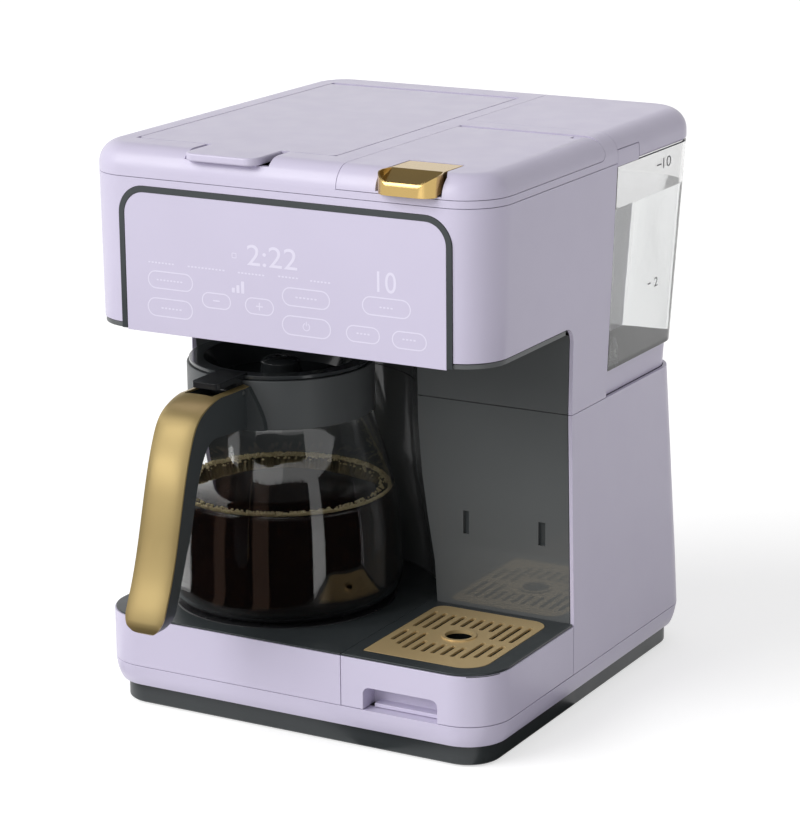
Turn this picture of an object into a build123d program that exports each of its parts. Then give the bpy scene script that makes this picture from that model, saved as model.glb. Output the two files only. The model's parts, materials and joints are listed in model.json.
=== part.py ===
from build123d import *
import math
import os

# Two-in-one coffee maker: carafe side on the left, cup side on the right, water tank at the right rear.
# Millimetres. +Z up, +X to the user's right, -Y to the front.
# Sizes are laid out from the middle of the foot; the pieces are saved from the middle of the whole outline.

# Gaps between pieces
seam = 0.4              # visible joint between two covers
lid_gap = 0.9           # wider joint round the brew lid
seat = 0.3              # parts that rest close without touching
pin_play = 0.05         # radial play of a pin in its bore
slide_play = 0.35       # sliding fit of a drawer or basket
far = 400.0             # beyond every face of the machine, for blocks that cut right through

# Foot
foot_width = 272.0
foot_depth = 284.0
foot_corner = 22.0
foot_top = 14.8
foot_wall = 3.0
pad_height = 1.0        # rubber pads stand this far below the foot
pad_pocket = 2.0
pad_radius = 10.0
pad_inset = 24.0

# Levels of the body, each measured from the one below
skirt_top = foot_top + 14.2
deck_level = skirt_top + 33.0
waist_level = deck_level + 139.0
head_bottom = deck_level + 196.7
lip_level = head_bottom + 93.0
top_level = lip_level + 19.3
top_round = 14.5

# How far the body stands out beyond the foot at each level
skirt_start_out = 4.0
body_out = 8.0
waist_out = 5.5
half_foot = foot_width / 2
front_foot = -foot_depth / 2
half_body = half_foot + body_out
front_face = front_foot - body_out

# Where the sloping rear wall is at each level
rear_skirt = -front_foot + 8.6
rear_waist = -front_foot - 10.4
rear_top = -front_foot + 12.5

# Carafe: its widest radius sets the room that it takes on the left
body_radius = 78.0
carafe_x = -half_body + body_radius + 12.0
carafe_y = front_face + body_radius + 10.0
plate_top = deck_level + 1.2    # the warming plate
glass_low = plate_top + 0.4
glass_top = glass_low + 157.4
neck_radius = body_radius - 20.8
boss_crest = glass_top + 3.0    # middle of the carafe's lid

# The handle reaches furthest to the front; the origin is under the middle of the whole outline
handle_reach = 167.6
outline_middle = (rear_top + carafe_y - handle_reach) / 2

shell_wall = 2.6


def between(level, low, high, at_low, at_high):
    """A size that changes evenly from one level to another."""
    return at_low + (at_high - at_low) * (level - low) / (high - low)


def out_at(level):
    """How far the side of the body stands out beyond the foot."""
    if level <= deck_level:
        return body_out
    if level <= waist_level:
        return between(level, deck_level, waist_level, body_out, waist_out)
    return between(level, waist_level, lip_level, waist_out, body_out)


def rear_at(level):
    """Y of the outer rear wall."""
    if level <= waist_level:
        return between(level, skirt_top, waist_level, rear_skirt, rear_waist)
    return between(level, waist_level, lip_level, rear_waist, rear_top)


def body_plan(level, inset=0.0, side=None, rear=None):
    """Plan outline of the body at a level, drawn into the current sketch."""
    side_out = out_at(level) if side is None else side
    rear_y = rear_at(level) if rear is None else rear
    front_y = front_foot - (side if side is not None else body_out)
    width = 2 * (half_foot + side_out - inset)
    depth = rear_y - front_y - 2 * inset
    with Locations((0, (rear_y + front_y) / 2)):
        RectangleRounded(width, depth, foot_corner + side_out - inset)


def body_block(low, high, inset=0.0):
    """Solid between two levels of the body."""
    with BuildPart() as block:
        for level in (low, high):
            with BuildSketch(Plane.XY.offset(level)):
                body_plan(level, inset)
        loft(ruled=True)
    return block.part


def box_between(x0, x1, y0, y1, z0, z1, mode=Mode.ADD):
    """Box given by its faces."""
    with Locations(((x0 + x1) / 2, (y0 + y1) / 2, (z0 + z1) / 2)):
        return Box(x1 - x0, y1 - y0, z1 - z0, mode=mode)


def drum(x, y, z0, z1, radius, mode=Mode.ADD):
    """Upright cylinder given by its axis and its end levels."""
    with Locations((x, y, (z0 + z1) / 2)):
        return Cylinder(radius, z1 - z0, mode=mode)


def rod_x(x0, x1, y, z, radius, mode=Mode.ADD):
    """Cylinder along X."""
    with Locations(Location(((x0 + x1) / 2, y, z), (0, 90, 0))):
        return Cylinder(radius, x1 - x0, mode=mode)


def rod_y(x, y0, y1, z, radius, mode=Mode.ADD):
    """Cylinder along Y."""
    with Locations(Location((x, (y0 + y1) / 2, z), (90, 0, 0))):
        return Cylinder(radius, y1 - y0, mode=mode)


def save(piece, name):
    """Place a finished piece in the row's frame, label it and write it."""
    placed = piece.part.moved(Location((0, -outline_middle, 0)))
    placed.label = name
    export_step(placed, f"parts/{name}.step")


os.makedirs("parts", exist_ok=True)

# Bay for the carafe and the cup
bay_back = front_face + 117.0
liner_wall = 2.0
liner_gap = 0.5
niche_wall = 2.0
niche_levels = [deck_level + rise for rise in (0.0, 29.0, 59.0, 87.0, 123.0)] + [head_bottom]
niche_radii = [body_radius + room for room in (25.0, 23.2, 18.4, 14.6, 12.0, 11.0)]
bay_corner = 10.0       # rounded top rear corner of the bay opening

# Drip drawer on the right
drawer_left = carafe_x + body_radius + 15.6
drawer_wall = 2.4
recess_left = drawer_left + 16.0
recess_right = half_body - 36.0
recess_ledge = skirt_top + 3.0  # top of the ledge behind its open foot
recess_top = skirt_top + 15.0
recess_depth = 15.0
ledge_start = 7.5
ledge_left = recess_left + 4.0
recess_round = 4.5

# Grate
grate_left = drawer_left + 9.4
grate_right = half_body - 14.0
grate_front = front_face + 12.5
grate_back = bay_back - 6.0
grate_level = deck_level + 1.6
grate_thick = 1.6

# Lids on top
brew_left = -half_body + 24.5
brew_right = carafe_x + body_radius + 0.5
brew_front = front_face + 29.0
brew_rear = rear_top - 33.5
pod_left = brew_right + 17.0
pod_bottom = lip_level + 5.3
lid_wall = 2.6
barrel_radius = 5.0
pin_radius = 2.0

# Tank at the right rear
tank_left = brew_right + 11.6
tank_front_low = bay_back + 49.3        # Y of its leaning front face at the waist
tank_front_high = tank_front_low + 8.7  # and at the lip level
tank_bottom = waist_level + 17.2
tank_top = lip_level - 2.1
tank_lid_bottom = tank_top + 0.9
tank_wall = 2.2
pedestal_inset = 3.0
pod_rear = tank_front_low - 8.3

# Single-serve side
pod_middle = (pod_left + half_body) / 2
pod_x = pod_middle - 0.75
pod_y = front_face + 64.0

# Control panel
panel_left = -half_body + 28.0
panel_right = half_body - 24.0
panel_top = lip_level - 4.7
panel_bottom = head_bottom - 4.5
panel_band = 4.0
panel_round = 18.5
panel_thick = 3.0


def niche_block(radii_out, low=deck_level, high=head_bottom):
    """Round niche behind the carafe, wider at its foot."""
    wall = [(carafe_x + r + radii_out, z) for r, z in zip(niche_radii, niche_levels)]
    ends = [(carafe_x + niche_radii[-1] + radii_out, high), (carafe_x, high)]
    start = [(carafe_x, low), (carafe_x + niche_radii[0] + radii_out, low)]
    with BuildPart() as block:
        with BuildSketch(Plane.XZ.offset(-carafe_y)):
            with BuildLine():
                Polyline(*start, *wall[1:-1], *ends, close=True)
            make_face()
        revolve(axis=Axis((carafe_x, carafe_y, 0), (0, 0, 1)))
    return block.part


def tank_front(level, gap=0.0):
    """Y of the leaning face in front of the tank."""
    return between(level, waist_level, lip_level, tank_front_low, tank_front_high) + gap


def tank_region(gap, low, high):
    """Right rear corner that the tank and its lid take."""
    with BuildPart() as block:
        with BuildSketch(Plane.YZ.offset(tank_left + gap)):
            with BuildLine():
                Polyline(
                    (tank_front(low, gap), low),
                    (tank_front(high, gap), high),
                    (far, high),
                    (far, low),
                    close=True,
                )
            make_face()
        extrude(amount=half_body)
    return block.part


# Rubber pads
with BuildPart() as rubber_pads:
    for x in (-half_foot + pad_inset, half_foot - pad_inset):
        for y in (front_foot + pad_inset, -front_foot - pad_inset):
            drum(x, y, 0, pad_height + pad_pocket, pad_radius)
    chamfer(rubber_pads.edges().group_by(Axis.Z)[0], 0.4)
save(rubber_pads, "rubber_pads")

# Foot, an open dark tray
screw_radius = 2.0
screw_head = 4.0
screw_head_thick = 2.4
screw_sink = 0.8        # heads lie this far inside the underside
screw_x = half_foot - 44.0
screw_rows = (front_foot + 40.0, 6.0, -front_foot - 40.0)
boss_radius = 6.0
boss_top = foot_top - 1.0
screw_top = foot_top + 8.0
head_top = pad_height + screw_sink + screw_head_thick
with BuildPart() as foot_tray:
    with BuildSketch(Plane.XY.offset(pad_height)):
        RectangleRounded(foot_width, foot_depth, foot_corner)
    extrude(amount=foot_top - pad_height)
    chamfer(foot_tray.edges().group_by(Axis.Z)[0], 1.0)
    with BuildSketch(Plane.XY.offset(pad_height + foot_wall + 1.0)):
        RectangleRounded(foot_width - 2 * foot_wall, foot_depth - 2 * foot_wall, foot_corner - foot_wall)
    extrude(amount=foot_top, mode=Mode.SUBTRACT)
    for x in (-half_foot + pad_inset, half_foot - pad_inset):
        for y in (front_foot + pad_inset, -front_foot - pad_inset):
            drum(x, y, pad_height, pad_height + pad_pocket, pad_radius + seat, mode=Mode.SUBTRACT)
    for x in (-screw_x, screw_x):
        for y in screw_rows:
            drum(x, y, pad_height + foot_wall, boss_top, boss_radius)
            drum(x, y, pad_height, head_top + 0.2, screw_head + seat, mode=Mode.SUBTRACT)
            drum(x, y, pad_height, foot_top, screw_radius + seat, mode=Mode.SUBTRACT)
save(foot_tray, "foot_tray")

# Screws that hold the foot to the base
with BuildPart() as base_screws:
    for x in (-screw_x, screw_x):
        for y in screw_rows:
            drum(x, y, pad_height + screw_sink, head_top, screw_head)
            drum(x, y, head_top, screw_top, screw_radius)
save(base_screws, "base_screws")

# Base floor, the inner deck that the pump and boiler stand on
floor_top = skirt_top - 2.0
floor_thick = 2.4
floor_inset = skirt_start_out + 6.0
with BuildPart() as base_floor:
    with BuildSketch(Plane.XY.offset(floor_top - floor_thick)):
        body_plan(skirt_top, floor_inset)
    extrude(amount=floor_thick)
    for x in (-screw_x, screw_x):
        for y in screw_rows:
            drum(x, y, boss_top + seat, floor_top - floor_thick, boss_radius)
            drum(x, y, 0, screw_top + 0.5, screw_radius + seat, mode=Mode.SUBTRACT)
    for x in (drawer_left + 20.4, half_body - 32.0):
        box_between(x - 2, x + 2, front_face + 18, bay_back - 2, floor_top, skirt_top + seam - 0.1)
save(base_floor, "base_floor")

# Skirt, the curved ring under the parting line
skirt_steps = (
    (foot_top, skirt_start_out), (foot_top + 3.6, 5.9), (foot_top + 8.4, 7.3), (skirt_top, body_out),
)
with BuildPart() as skirt:
    for level, out in skirt_steps:
        rear_y = between(level, foot_top, skirt_top, foot_depth / 2 + skirt_start_out, rear_skirt)
        with BuildSketch(Plane.XY.offset(level)):
            with Locations((0, (rear_y + front_foot - out) / 2)):
                RectangleRounded(foot_width + 2 * out, rear_y - front_foot + out, foot_corner + out)
    loft()
    with BuildSketch(Plane.XY.offset(foot_top)):
        body_plan(skirt_top, body_out + foot_wall)
    extrude(amount=skirt_top, mode=Mode.SUBTRACT)
    with BuildSketch(Plane.XY.offset(floor_top - floor_thick - seat)):
        body_plan(skirt_top, floor_inset - seat)
    extrude(amount=skirt_top, mode=Mode.SUBTRACT)
save(skirt, "skirt")

# Lower housing
niche_room = niche_block(niche_wall + liner_gap)
gland_x = -half_body + 44.0
gland_z = floor_top + 18.0
gland_radius = 8.0
vent_count = 9
vent_pitch = 8.0
vent_width = 3.2
vent_left = half_body - 124.0
vent_low = deck_level + 4.0
vent_high = vent_low + 50.0
bay_edge = drawer_left - seam / 2
with BuildPart() as drawer_partition:
    add(body_block(skirt_top + seam, deck_level))
    box_between(bay_edge - shell_wall, far, -far, bay_back + shell_wall, 0, far, mode=Mode.INTERSECT)
    box_between(bay_edge, far, -far, bay_back, 0, far, mode=Mode.SUBTRACT)
with BuildPart() as lower_housing:
    add(body_block(skirt_top + seam, deck_level))
    add(body_block(deck_level, waist_level))
    add(body_block(skirt_top, deck_level, shell_wall), mode=Mode.SUBTRACT)
    add(body_block(deck_level, waist_level, shell_wall), mode=Mode.SUBTRACT)
    box_between(-far, far, -far, bay_back, deck_level, waist_level + 1, mode=Mode.SUBTRACT)
    box_between(bay_edge, far, -far, bay_back, 0, deck_level + 1, mode=Mode.SUBTRACT)
    add(niche_room, mode=Mode.SUBTRACT)
    add(drawer_partition.part)
    for step in range(vent_count):
        x = vent_left + step * vent_pitch
        box_between(x, x + vent_width, rear_waist - 20, far, vent_low, vent_high, mode=Mode.SUBTRACT)
    rod_y(gland_x, rear_waist - 20, far, gland_z, gland_radius + seat, mode=Mode.SUBTRACT)
save(lower_housing, "lower_housing")

# Upper housing with the head
with BuildPart() as under_head:
    box_between(-far, far, -far, bay_back, waist_level - 20, head_bottom)
    fillet(under_head.edges().filter_by(Axis.X).group_by(Axis.Y)[-1].sort_by(Axis.Z)[-1], bay_corner)
tank_room = tank_region(0.0, waist_level - 1, lip_level + 1)
with BuildPart() as tank_partition:
    add(body_block(waist_level + seam, lip_level, shell_wall / 2))
    add(tank_region(-shell_wall, waist_level - 1, lip_level + 1), mode=Mode.INTERSECT)
    add(tank_room, mode=Mode.SUBTRACT)
with BuildPart() as upper_housing:
    add(body_block(waist_level + seam, lip_level))
    add(body_block(waist_level, lip_level, shell_wall), mode=Mode.SUBTRACT)
    add(under_head.part, mode=Mode.SUBTRACT)
    add(niche_room, mode=Mode.SUBTRACT)
    add(tank_room, mode=Mode.SUBTRACT)
    add(tank_partition.part)
    with BuildSketch(Plane.XZ.offset(-front_face - 1)):
        with Locations(((panel_left + panel_right) / 2, (panel_top + head_bottom) / 2 - panel_round)):
            window = panel_top - head_bottom + 2 * panel_round
            RectangleRounded(panel_right - panel_left, window, panel_round)
    extrude(amount=shell_wall + 2, both=True, mode=Mode.SUBTRACT)
save(upper_housing, "upper_housing")

# Bay liner, dark and glossy: a flat wall behind the cup and a round niche behind the carafe
liner_top = head_bottom - 6.0


def liner_block(low, high):
    """Liner between two levels."""
    with BuildPart() as block:
        box_between(-far, far, bay_back, bay_back + liner_wall, low, high)
        add(niche_block(niche_wall))
        add(niche_block(0.0, deck_level - 1, head_bottom + 1), mode=Mode.SUBTRACT)
        box_between(-far, far, -far, bay_back, 0, far, mode=Mode.SUBTRACT)
        box_between(-far, far, -far, far, 0, low, mode=Mode.SUBTRACT)
        box_between(-far, far, -far, far, high, far, mode=Mode.SUBTRACT)
    return block.part


bay_slot_low = deck_level + 50.6
bay_slot_high = bay_slot_low + 15.6
with BuildPart() as lower_liner:
    add(liner_block(deck_level, waist_level))
    for x0, x1 in ((grate_left + 15.0, grate_left + 19.2), (grate_right - 11.8, grate_right - 6.8)):
        box_between(x0, x1, bay_back - 1, 0, bay_slot_low, bay_slot_high, mode=Mode.SUBTRACT)
    add(body_block(deck_level, waist_level, shell_wall + liner_gap), mode=Mode.INTERSECT)
save(lower_liner, "lower_liner")

with BuildPart() as upper_liner:
    add(liner_block(waist_level + seam, liner_top))
    add(body_block(waist_level, lip_level, shell_wall + liner_gap), mode=Mode.INTERSECT)
save(upper_liner, "upper_liner")

# Head underside, the dark ceiling of the bay with its rim showing under the head
rim_in = 0.6
rim_drop = 3.6
ceiling_thick = 3.0
ceiling_low = head_bottom - rim_drop
ceiling_top = ceiling_low + ceiling_thick
outlet_hole = 40.0
spout_hole = 16.0
with BuildPart() as head_underside:
    with BuildSketch(Plane.XY.offset(ceiling_low)):
        body_plan(head_bottom, rim_in)
    extrude(amount=ceiling_thick)
    box_between(-far, far, bay_back - bay_corner, far, 0, far, mode=Mode.SUBTRACT)
    with BuildSketch(Plane.XY.offset(ceiling_low)):
        body_plan(head_bottom, shell_wall + liner_gap + 1.0)
    extrude(amount=ceiling_thick)
    box_between(-far, far, bay_back, far, 0, far, mode=Mode.SUBTRACT)
    drum(carafe_x, carafe_y, ceiling_low - 1, head_bottom, outlet_hole, mode=Mode.SUBTRACT)
    drum(pod_x, pod_y, ceiling_low - 1, head_bottom, spout_hole, mode=Mode.SUBTRACT)
save(head_underside, "head_underside")

# Dark outline round the control panel, open at its foot
panel_mid = (panel_left + panel_right) / 2
panel_width = panel_right - panel_left
band_face = front_face - seat
band_thick = 3.4


def panel_plate(side, top, low, face, thick, corner):
    """Upright plate on the front face with two rounded upper corners."""
    with BuildPart() as plate:
        with BuildSketch(Plane.XZ.offset(-face)):
            with Locations((panel_mid, (top + low) / 2)):
                Rectangle(2 * side, top - low)
        extrude(amount=-thick)
        fillet(plate.edges().filter_by(Axis.Y).group_by(Axis.Z)[-1], corner)
    return plate.part


with BuildPart() as panel_outline:
    outer_side = panel_width / 2 - seam / 2
    add(panel_plate(outer_side, panel_top - seam / 2, ceiling_low, band_face, band_thick, panel_round))
    inner_side = panel_width / 2 - panel_band
    inner_top = panel_top - panel_band
    inner_round = panel_round - panel_band
    add(
        panel_plate(inner_side, inner_top, waist_level, front_face - 2, 3 * band_thick, inner_round),
        mode=Mode.SUBTRACT,
    )
    box_between(-far, far, front_face + rim_in - 0.1, 0, 0, head_bottom, mode=Mode.SUBTRACT)
save(panel_outline, "panel_outline")

# Touch panel
with BuildPart() as touch_panel:
    side = panel_width / 2 - panel_band - 0.1
    top = panel_top - panel_band - 0.1
    add(panel_plate(side, top, head_bottom + seat, front_face, panel_thick, panel_round - panel_band))
    box_between(
        panel_mid - side, panel_mid + side, front_face, front_face + rim_in - 0.1, panel_bottom,
        head_bottom + 1,
    )
save(touch_panel, "touch_panel")

# Circuit board behind the touch panel, on four posts
board_thick = 1.6
board_face = front_face + 9.0
board_half = panel_width / 2 - 28.0
board_low = head_bottom + 9.3
board_high = panel_top - 13.0
post_inset = 6.0
with BuildPart() as control_board:
    box_between(
        panel_mid - board_half, panel_mid + board_half, board_face, board_face + board_thick, board_low,
        board_high,
    )
    for x in (panel_mid - board_half + post_inset, panel_mid + board_half - post_inset):
        for z in (board_low + post_inset, board_high - post_inset):
            rod_y(x, front_face + panel_thick, board_face, z, 3.0)
save(control_board, "control_board")

# Inner deck of the head that carries the two wells
top_deck_low = lip_level + seam
top_deck_thick = 2.4
top_deck_top = top_deck_low + top_deck_thick
well_radius = 58.0
well_wall = 2.0
pod_well_radius = 33.0
flange = 4.0
well_low = ceiling_top + seat
well_floor = well_low + 2.4
with BuildPart() as top_deck:
    with BuildSketch(Plane.XY.offset(top_deck_low)):
        body_plan(lip_level, lid_wall + liner_gap)
    extrude(amount=top_deck_thick)
    add(tank_region(-2.0, waist_level, top_level + 20), mode=Mode.SUBTRACT)
    drum(carafe_x, carafe_y, 0, far, well_radius + seat, mode=Mode.SUBTRACT)
    drum(pod_x, pod_y, 0, far, pod_well_radius + seat, mode=Mode.SUBTRACT)
save(top_deck, "top_deck")

# Brew well and pod well, hung from the inner deck by their flanges
with BuildPart() as brew_well:
    drum(carafe_x, carafe_y, well_low, top_deck_top, well_radius)
    drum(carafe_x, carafe_y, top_deck_top, top_deck_top + 2.0, well_radius + flange)
    drum(carafe_x, carafe_y, well_floor, far, well_radius - well_wall, mode=Mode.SUBTRACT)
    drum(carafe_x, carafe_y, 0, far, outlet_hole - 6.0, mode=Mode.SUBTRACT)
save(brew_well, "brew_well")

with BuildPart() as pod_well:
    drum(pod_x, pod_y, well_low, top_deck_top, pod_well_radius)
    drum(pod_x, pod_y, top_deck_top, top_deck_top + 2.0, pod_well_radius + flange)
    drum(pod_x, pod_y, well_floor, far, pod_well_radius - well_wall, mode=Mode.SUBTRACT)
    drum(pod_x, pod_y, 0, far, spout_hole - 4.0, mode=Mode.SUBTRACT)
save(pod_well, "pod_well")

# Top cap, cut into the fixed frame and the three lids
brew_axis_y = brew_rear - barrel_radius
pod_axis_y = pod_rear - barrel_radius
lid_axis_z = top_level - barrel_radius


def cap_block(low, inset=0.0):
    """Rounded cap of the machine above a level."""
    with BuildPart() as block:
        with BuildSketch(Plane.XY.offset(low)):
            body_plan(lip_level, inset)
        extrude(amount=top_level - inset - low)
        fillet(block.edges().group_by(Axis.Z)[-1], top_round - inset)
    return block.part


def cap_shell(low):
    """Wall of the cap above a level."""
    with BuildPart() as shell:
        add(cap_block(low))
        add(cap_block(low - 1, lid_wall), mode=Mode.SUBTRACT)
    return shell.part


def pod_region(gap, low):
    """Right front corner that the pod lid takes."""
    with BuildPart() as block:
        box_between(pod_left - gap, far, -far, pod_rear + gap, low - gap, far)
        lower_rear = block.edges().filter_by(Axis.X).group_by(Axis.Y)[-1].sort_by(Axis.Z)[0]
        fillet(lower_rear, 6.0 + gap)
    return block.part


pod_right = half_body - 20.0    # right end of the single-serve lid's barrel
knuckle_width = 5.4
tab_left = carafe_x - 11.5
tab_right = tab_left + 52.0
tab_front = front_face - 4.0
tab_thick = 5.0
tab_round = 8.0
latch_x = pod_middle - 2.05
latch_half = 18.0
latch_gap = 1.0         # beside the latch at its hinge
latch_flare = 4.4       # and beside it at the front
latch_back = front_face + 35.0
latch_crest = front_face + 12.0
hinge_slot = 2.0
cheek_width = 6.0
frame_joint = tank_front(top_level) + 0.4
hairline = 0.1

with BuildPart() as top_frame:
    add(cap_shell(lip_level + seam))
    box_between(
        brew_left - lid_gap, brew_right + lid_gap, brew_front - lid_gap, brew_rear + lid_gap,
        lid_axis_z - 12, far, mode=Mode.SUBTRACT,
    )
    box_between(
        tab_left - 2.5, tab_right + 6.0, -far, brew_front, top_level - tab_thick - seam, far,
        mode=Mode.SUBTRACT,
    )
    add(pod_region(seam, pod_bottom), mode=Mode.SUBTRACT)
    add(tank_region(0.0, waist_level, top_level + 20), mode=Mode.SUBTRACT)
    # cheeks that hold the hinge pins of the two lids
    for x0, x1, axis_y in (
        (brew_left - cheek_width, brew_left - seam, brew_axis_y),
        (brew_right + seam, brew_right + cheek_width, brew_axis_y),
        (pod_left - cheek_width, pod_left - seam, pod_axis_y),
    ):
        cheek_top = top_level - lid_wall
        box_between(x0, x1, axis_y - barrel_radius, axis_y + barrel_radius, top_deck_top, cheek_top)
        rod_x(x0 - 1, x1 + 1, axis_y, lid_axis_z, pin_radius + pin_play, mode=Mode.SUBTRACT)
    # round knuckle at the right end of the single-serve lid
    rod_x(pod_right + seam, pod_right + knuckle_width, pod_axis_y, lid_axis_z, barrel_radius)
    box_between(
        pod_right + seam, pod_right + knuckle_width, pod_axis_y, pod_rear + 4.0, top_deck_top, lid_axis_z
    )
    box_between(
        pod_right + seam, pod_right + knuckle_width, pod_rear + 2 * seam, pod_rear + 4.0, lid_axis_z,
        top_level - lid_wall / 2,
    )
    rod_x(pod_right, pod_right + 10, pod_axis_y, lid_axis_z, pin_radius + pin_play, mode=Mode.SUBTRACT)
    # hairline joint between the frame's front and rear mouldings, level with the front of the tank lid
    box_between(-far, far, frame_joint - hairline, frame_joint, 0, far, mode=Mode.SUBTRACT)
save(top_frame, "top_frame")

# Brew basket lid with its front finger tab and rear hinge barrel
with BuildPart() as brew_lid:
    box_between(brew_left, brew_right, brew_front, brew_axis_y, top_level - lid_wall, top_level)
    fillet(brew_lid.edges().filter_by(Axis.Z).group_by(Axis.Y)[0], 5.0)
    box_between(
        brew_left + 3, brew_right - 3, brew_front + 3, brew_axis_y - 8, top_level - 6.0, top_level - lid_wall
    )
    box_between(
        brew_left + 5, brew_right - 5, brew_front + 5, brew_axis_y - 10, top_level - 8.0,
        top_level - lid_wall, mode=Mode.SUBTRACT,
    )
    rod_x(brew_left, brew_right, brew_axis_y, lid_axis_z, barrel_radius)
    with BuildSketch(Plane.XY.offset(top_level - tab_thick)):
        with Locations(((tab_left + tab_right) / 2, (tab_front + brew_front + 12) / 2)):
            RectangleRounded(tab_right - tab_left, brew_front + 12 - tab_front, tab_round)
    extrude(amount=tab_thick)
    fillet(brew_lid.edges().filter_by(GeomType.CIRCLE).group_by(Axis.Y)[0], 1.2)
    rod_x(brew_left - 1, brew_right + 1, brew_axis_y, lid_axis_z, pin_radius + pin_play, mode=Mode.SUBTRACT)
save(brew_lid, "brew_lid")

# Single-serve lid, it wraps round the right front corner and has a pocket for the latch
pocket_wall = 2.0
pocket_floor = pod_bottom + 1.2
pocket_left = latch_x - latch_half - latch_gap
pocket_right = latch_x + latch_half + latch_gap
pocket_back = latch_back + hinge_slot
pocket_widens = latch_flare - latch_gap
with BuildPart() as latch_room:
    with BuildSketch(Plane.XY.offset(pocket_floor)):
        with BuildLine():
            Polyline(
                (pocket_left, pocket_back), (pocket_left, latch_crest + 2.0),
                (pocket_left - pocket_widens, front_face + 7.0), (pocket_left - pocket_widens, -far),
                (pocket_right + pocket_widens, -far), (pocket_right + pocket_widens, front_face + 7.0),
                (pocket_right, latch_crest + 2.0), (pocket_right, pocket_back), close=True,
            )
        make_face()
    extrude(amount=far)
with BuildPart() as pod_lid:
    add(cap_shell(lip_level))
    add(pod_region(0.0, pod_bottom), mode=Mode.INTERSECT)
    box_between(
        pocket_left - pocket_widens - pocket_wall, pocket_right + pocket_widens + pocket_wall,
        front_face + 1, pocket_back + pocket_wall, pod_bottom, top_level - 1,
    )
    add(latch_room.part, mode=Mode.SUBTRACT)
    box_between(-far, far, pod_axis_y, far, lid_axis_z, far, mode=Mode.SUBTRACT)
    rod_x(pod_left, half_body, pod_axis_y, lid_axis_z, barrel_radius)
    box_between(
        pod_right, pod_right + knuckle_width + seam, pod_axis_y - barrel_radius - 1.0, far, top_deck_top,
        far, mode=Mode.SUBTRACT,
    )
    add(cap_block(lip_level), mode=Mode.INTERSECT)
    rod_x(pod_left - 1, pod_right + 1, pod_axis_y, lid_axis_z, pin_radius + pin_play, mode=Mode.SUBTRACT)
save(pod_lid, "pod_lid")

# Hinge pins of the two fixed-frame lids
pin_length = 16.0
pin_reach = cheek_width - seam
with BuildPart() as lid_pins:
    for x0, x1, axis_y in ((brew_left, brew_right, brew_axis_y), (pod_left, pod_right, pod_axis_y)):
        rod_x(x0 - pin_reach, x0 - pin_reach + pin_length, axis_y, lid_axis_z, pin_radius)
        rod_x(x1 + pin_reach - pin_length, x1 + pin_reach, axis_y, lid_axis_z, pin_radius)
save(lid_pins, "lid_pins")

# Gold thumb latch: flat at its hinge, then a tab with a thumb dish that stands out over the front
latch_axis_y = latch_back - 4.0
latch_axis_z = top_level - 5.4
latch_bend = latch_crest - 2.0  # where the tab starts to turn down
latch_lip = front_face - 8.0
latch_tip = top_level - 9.4     # upper edge of its lip
latch_low = pod_bottom + 0.8
latch_corner = 11.0
latch_rim = 0.9         # wall round the thumb dish
latch_spread = 2.4      # the tab is wider than the hinge end by this much on each side
latch_pin_radius = 1.5
latch_slot = 6.0        # half width of the slot that holds the spring


def latch_plan(inset, low, high):
    """Upright block with the latch's outline from above."""
    narrow = latch_half - inset
    wide = narrow + latch_spread
    with BuildPart() as block:
        with BuildSketch(Plane.XY.offset(low)):
            with BuildLine():
                Polyline(
                    (latch_x - narrow, latch_back), (latch_x - narrow, latch_crest),
                    (latch_x - wide, front_face + 5.0), (latch_x - wide, latch_lip + inset),
                    (latch_x + wide, latch_lip + inset), (latch_x + wide, front_face + 5.0),
                    (latch_x + narrow, latch_crest), (latch_x + narrow, latch_back), close=True,
                )
            make_face()
        extrude(amount=high - low)
        fillet(block.edges().filter_by(Axis.Z).group_by(Axis.Y)[0], latch_corner - inset)
    return block.part


latch_wide = latch_half + latch_spread
with BuildPart() as thumb_dish:
    with BuildSketch(Plane.YZ.offset(latch_x - latch_wide)):
        with BuildLine():
            dish_end = (latch_lip + latch_rim, latch_tip - 0.2)
            dish_low = ((latch_crest + latch_lip) / 2, (top_level + latch_tip) / 2 - 1.5)
            ThreePointArc((latch_crest, top_level), dish_low, dish_end)
            Polyline(dish_end, (dish_end[0], top_level + 1), (latch_crest, top_level + 1),
                     (latch_crest, top_level))
        make_face()
    extrude(amount=2 * latch_wide)
    add(latch_plan(latch_rim, 0, far), mode=Mode.INTERSECT)

with BuildPart() as thumb_latch:
    with BuildSketch(Plane.YZ.offset(latch_x - latch_wide)):
        with BuildLine():
            step_y = front_face - seat
            Line((latch_back, top_level), (latch_bend, top_level))
            Spline((latch_bend, top_level), (latch_lip, latch_tip), tangents=((-1, 0), (0, -1)))
            Polyline(
                (latch_lip, latch_tip), (latch_lip, latch_low), (step_y, latch_low),
                (step_y, pocket_floor + 0.6), (latch_crest, pocket_floor + 4.0),
                (latch_back, top_level - 9.0), (latch_back, top_level),
            )
        make_face()
    extrude(amount=2 * latch_wide)
    add(latch_plan(0.0, 0, far), mode=Mode.INTERSECT)
    add(thumb_dish.part, mode=Mode.SUBTRACT)
    rod_x(-far, far, latch_axis_y, latch_axis_z, latch_pin_radius + pin_play, mode=Mode.SUBTRACT)
    box_between(
        latch_x - latch_slot, latch_x + latch_slot, latch_axis_y - 4.0, latch_back, 0, latch_axis_z + 3.0,
        mode=Mode.SUBTRACT,
    )
save(thumb_latch, "thumb_latch")

with BuildPart() as latch_pin:
    rod_x(pocket_left, pocket_right, latch_axis_y, latch_axis_z, latch_pin_radius)
save(latch_pin, "latch_pin")

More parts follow.
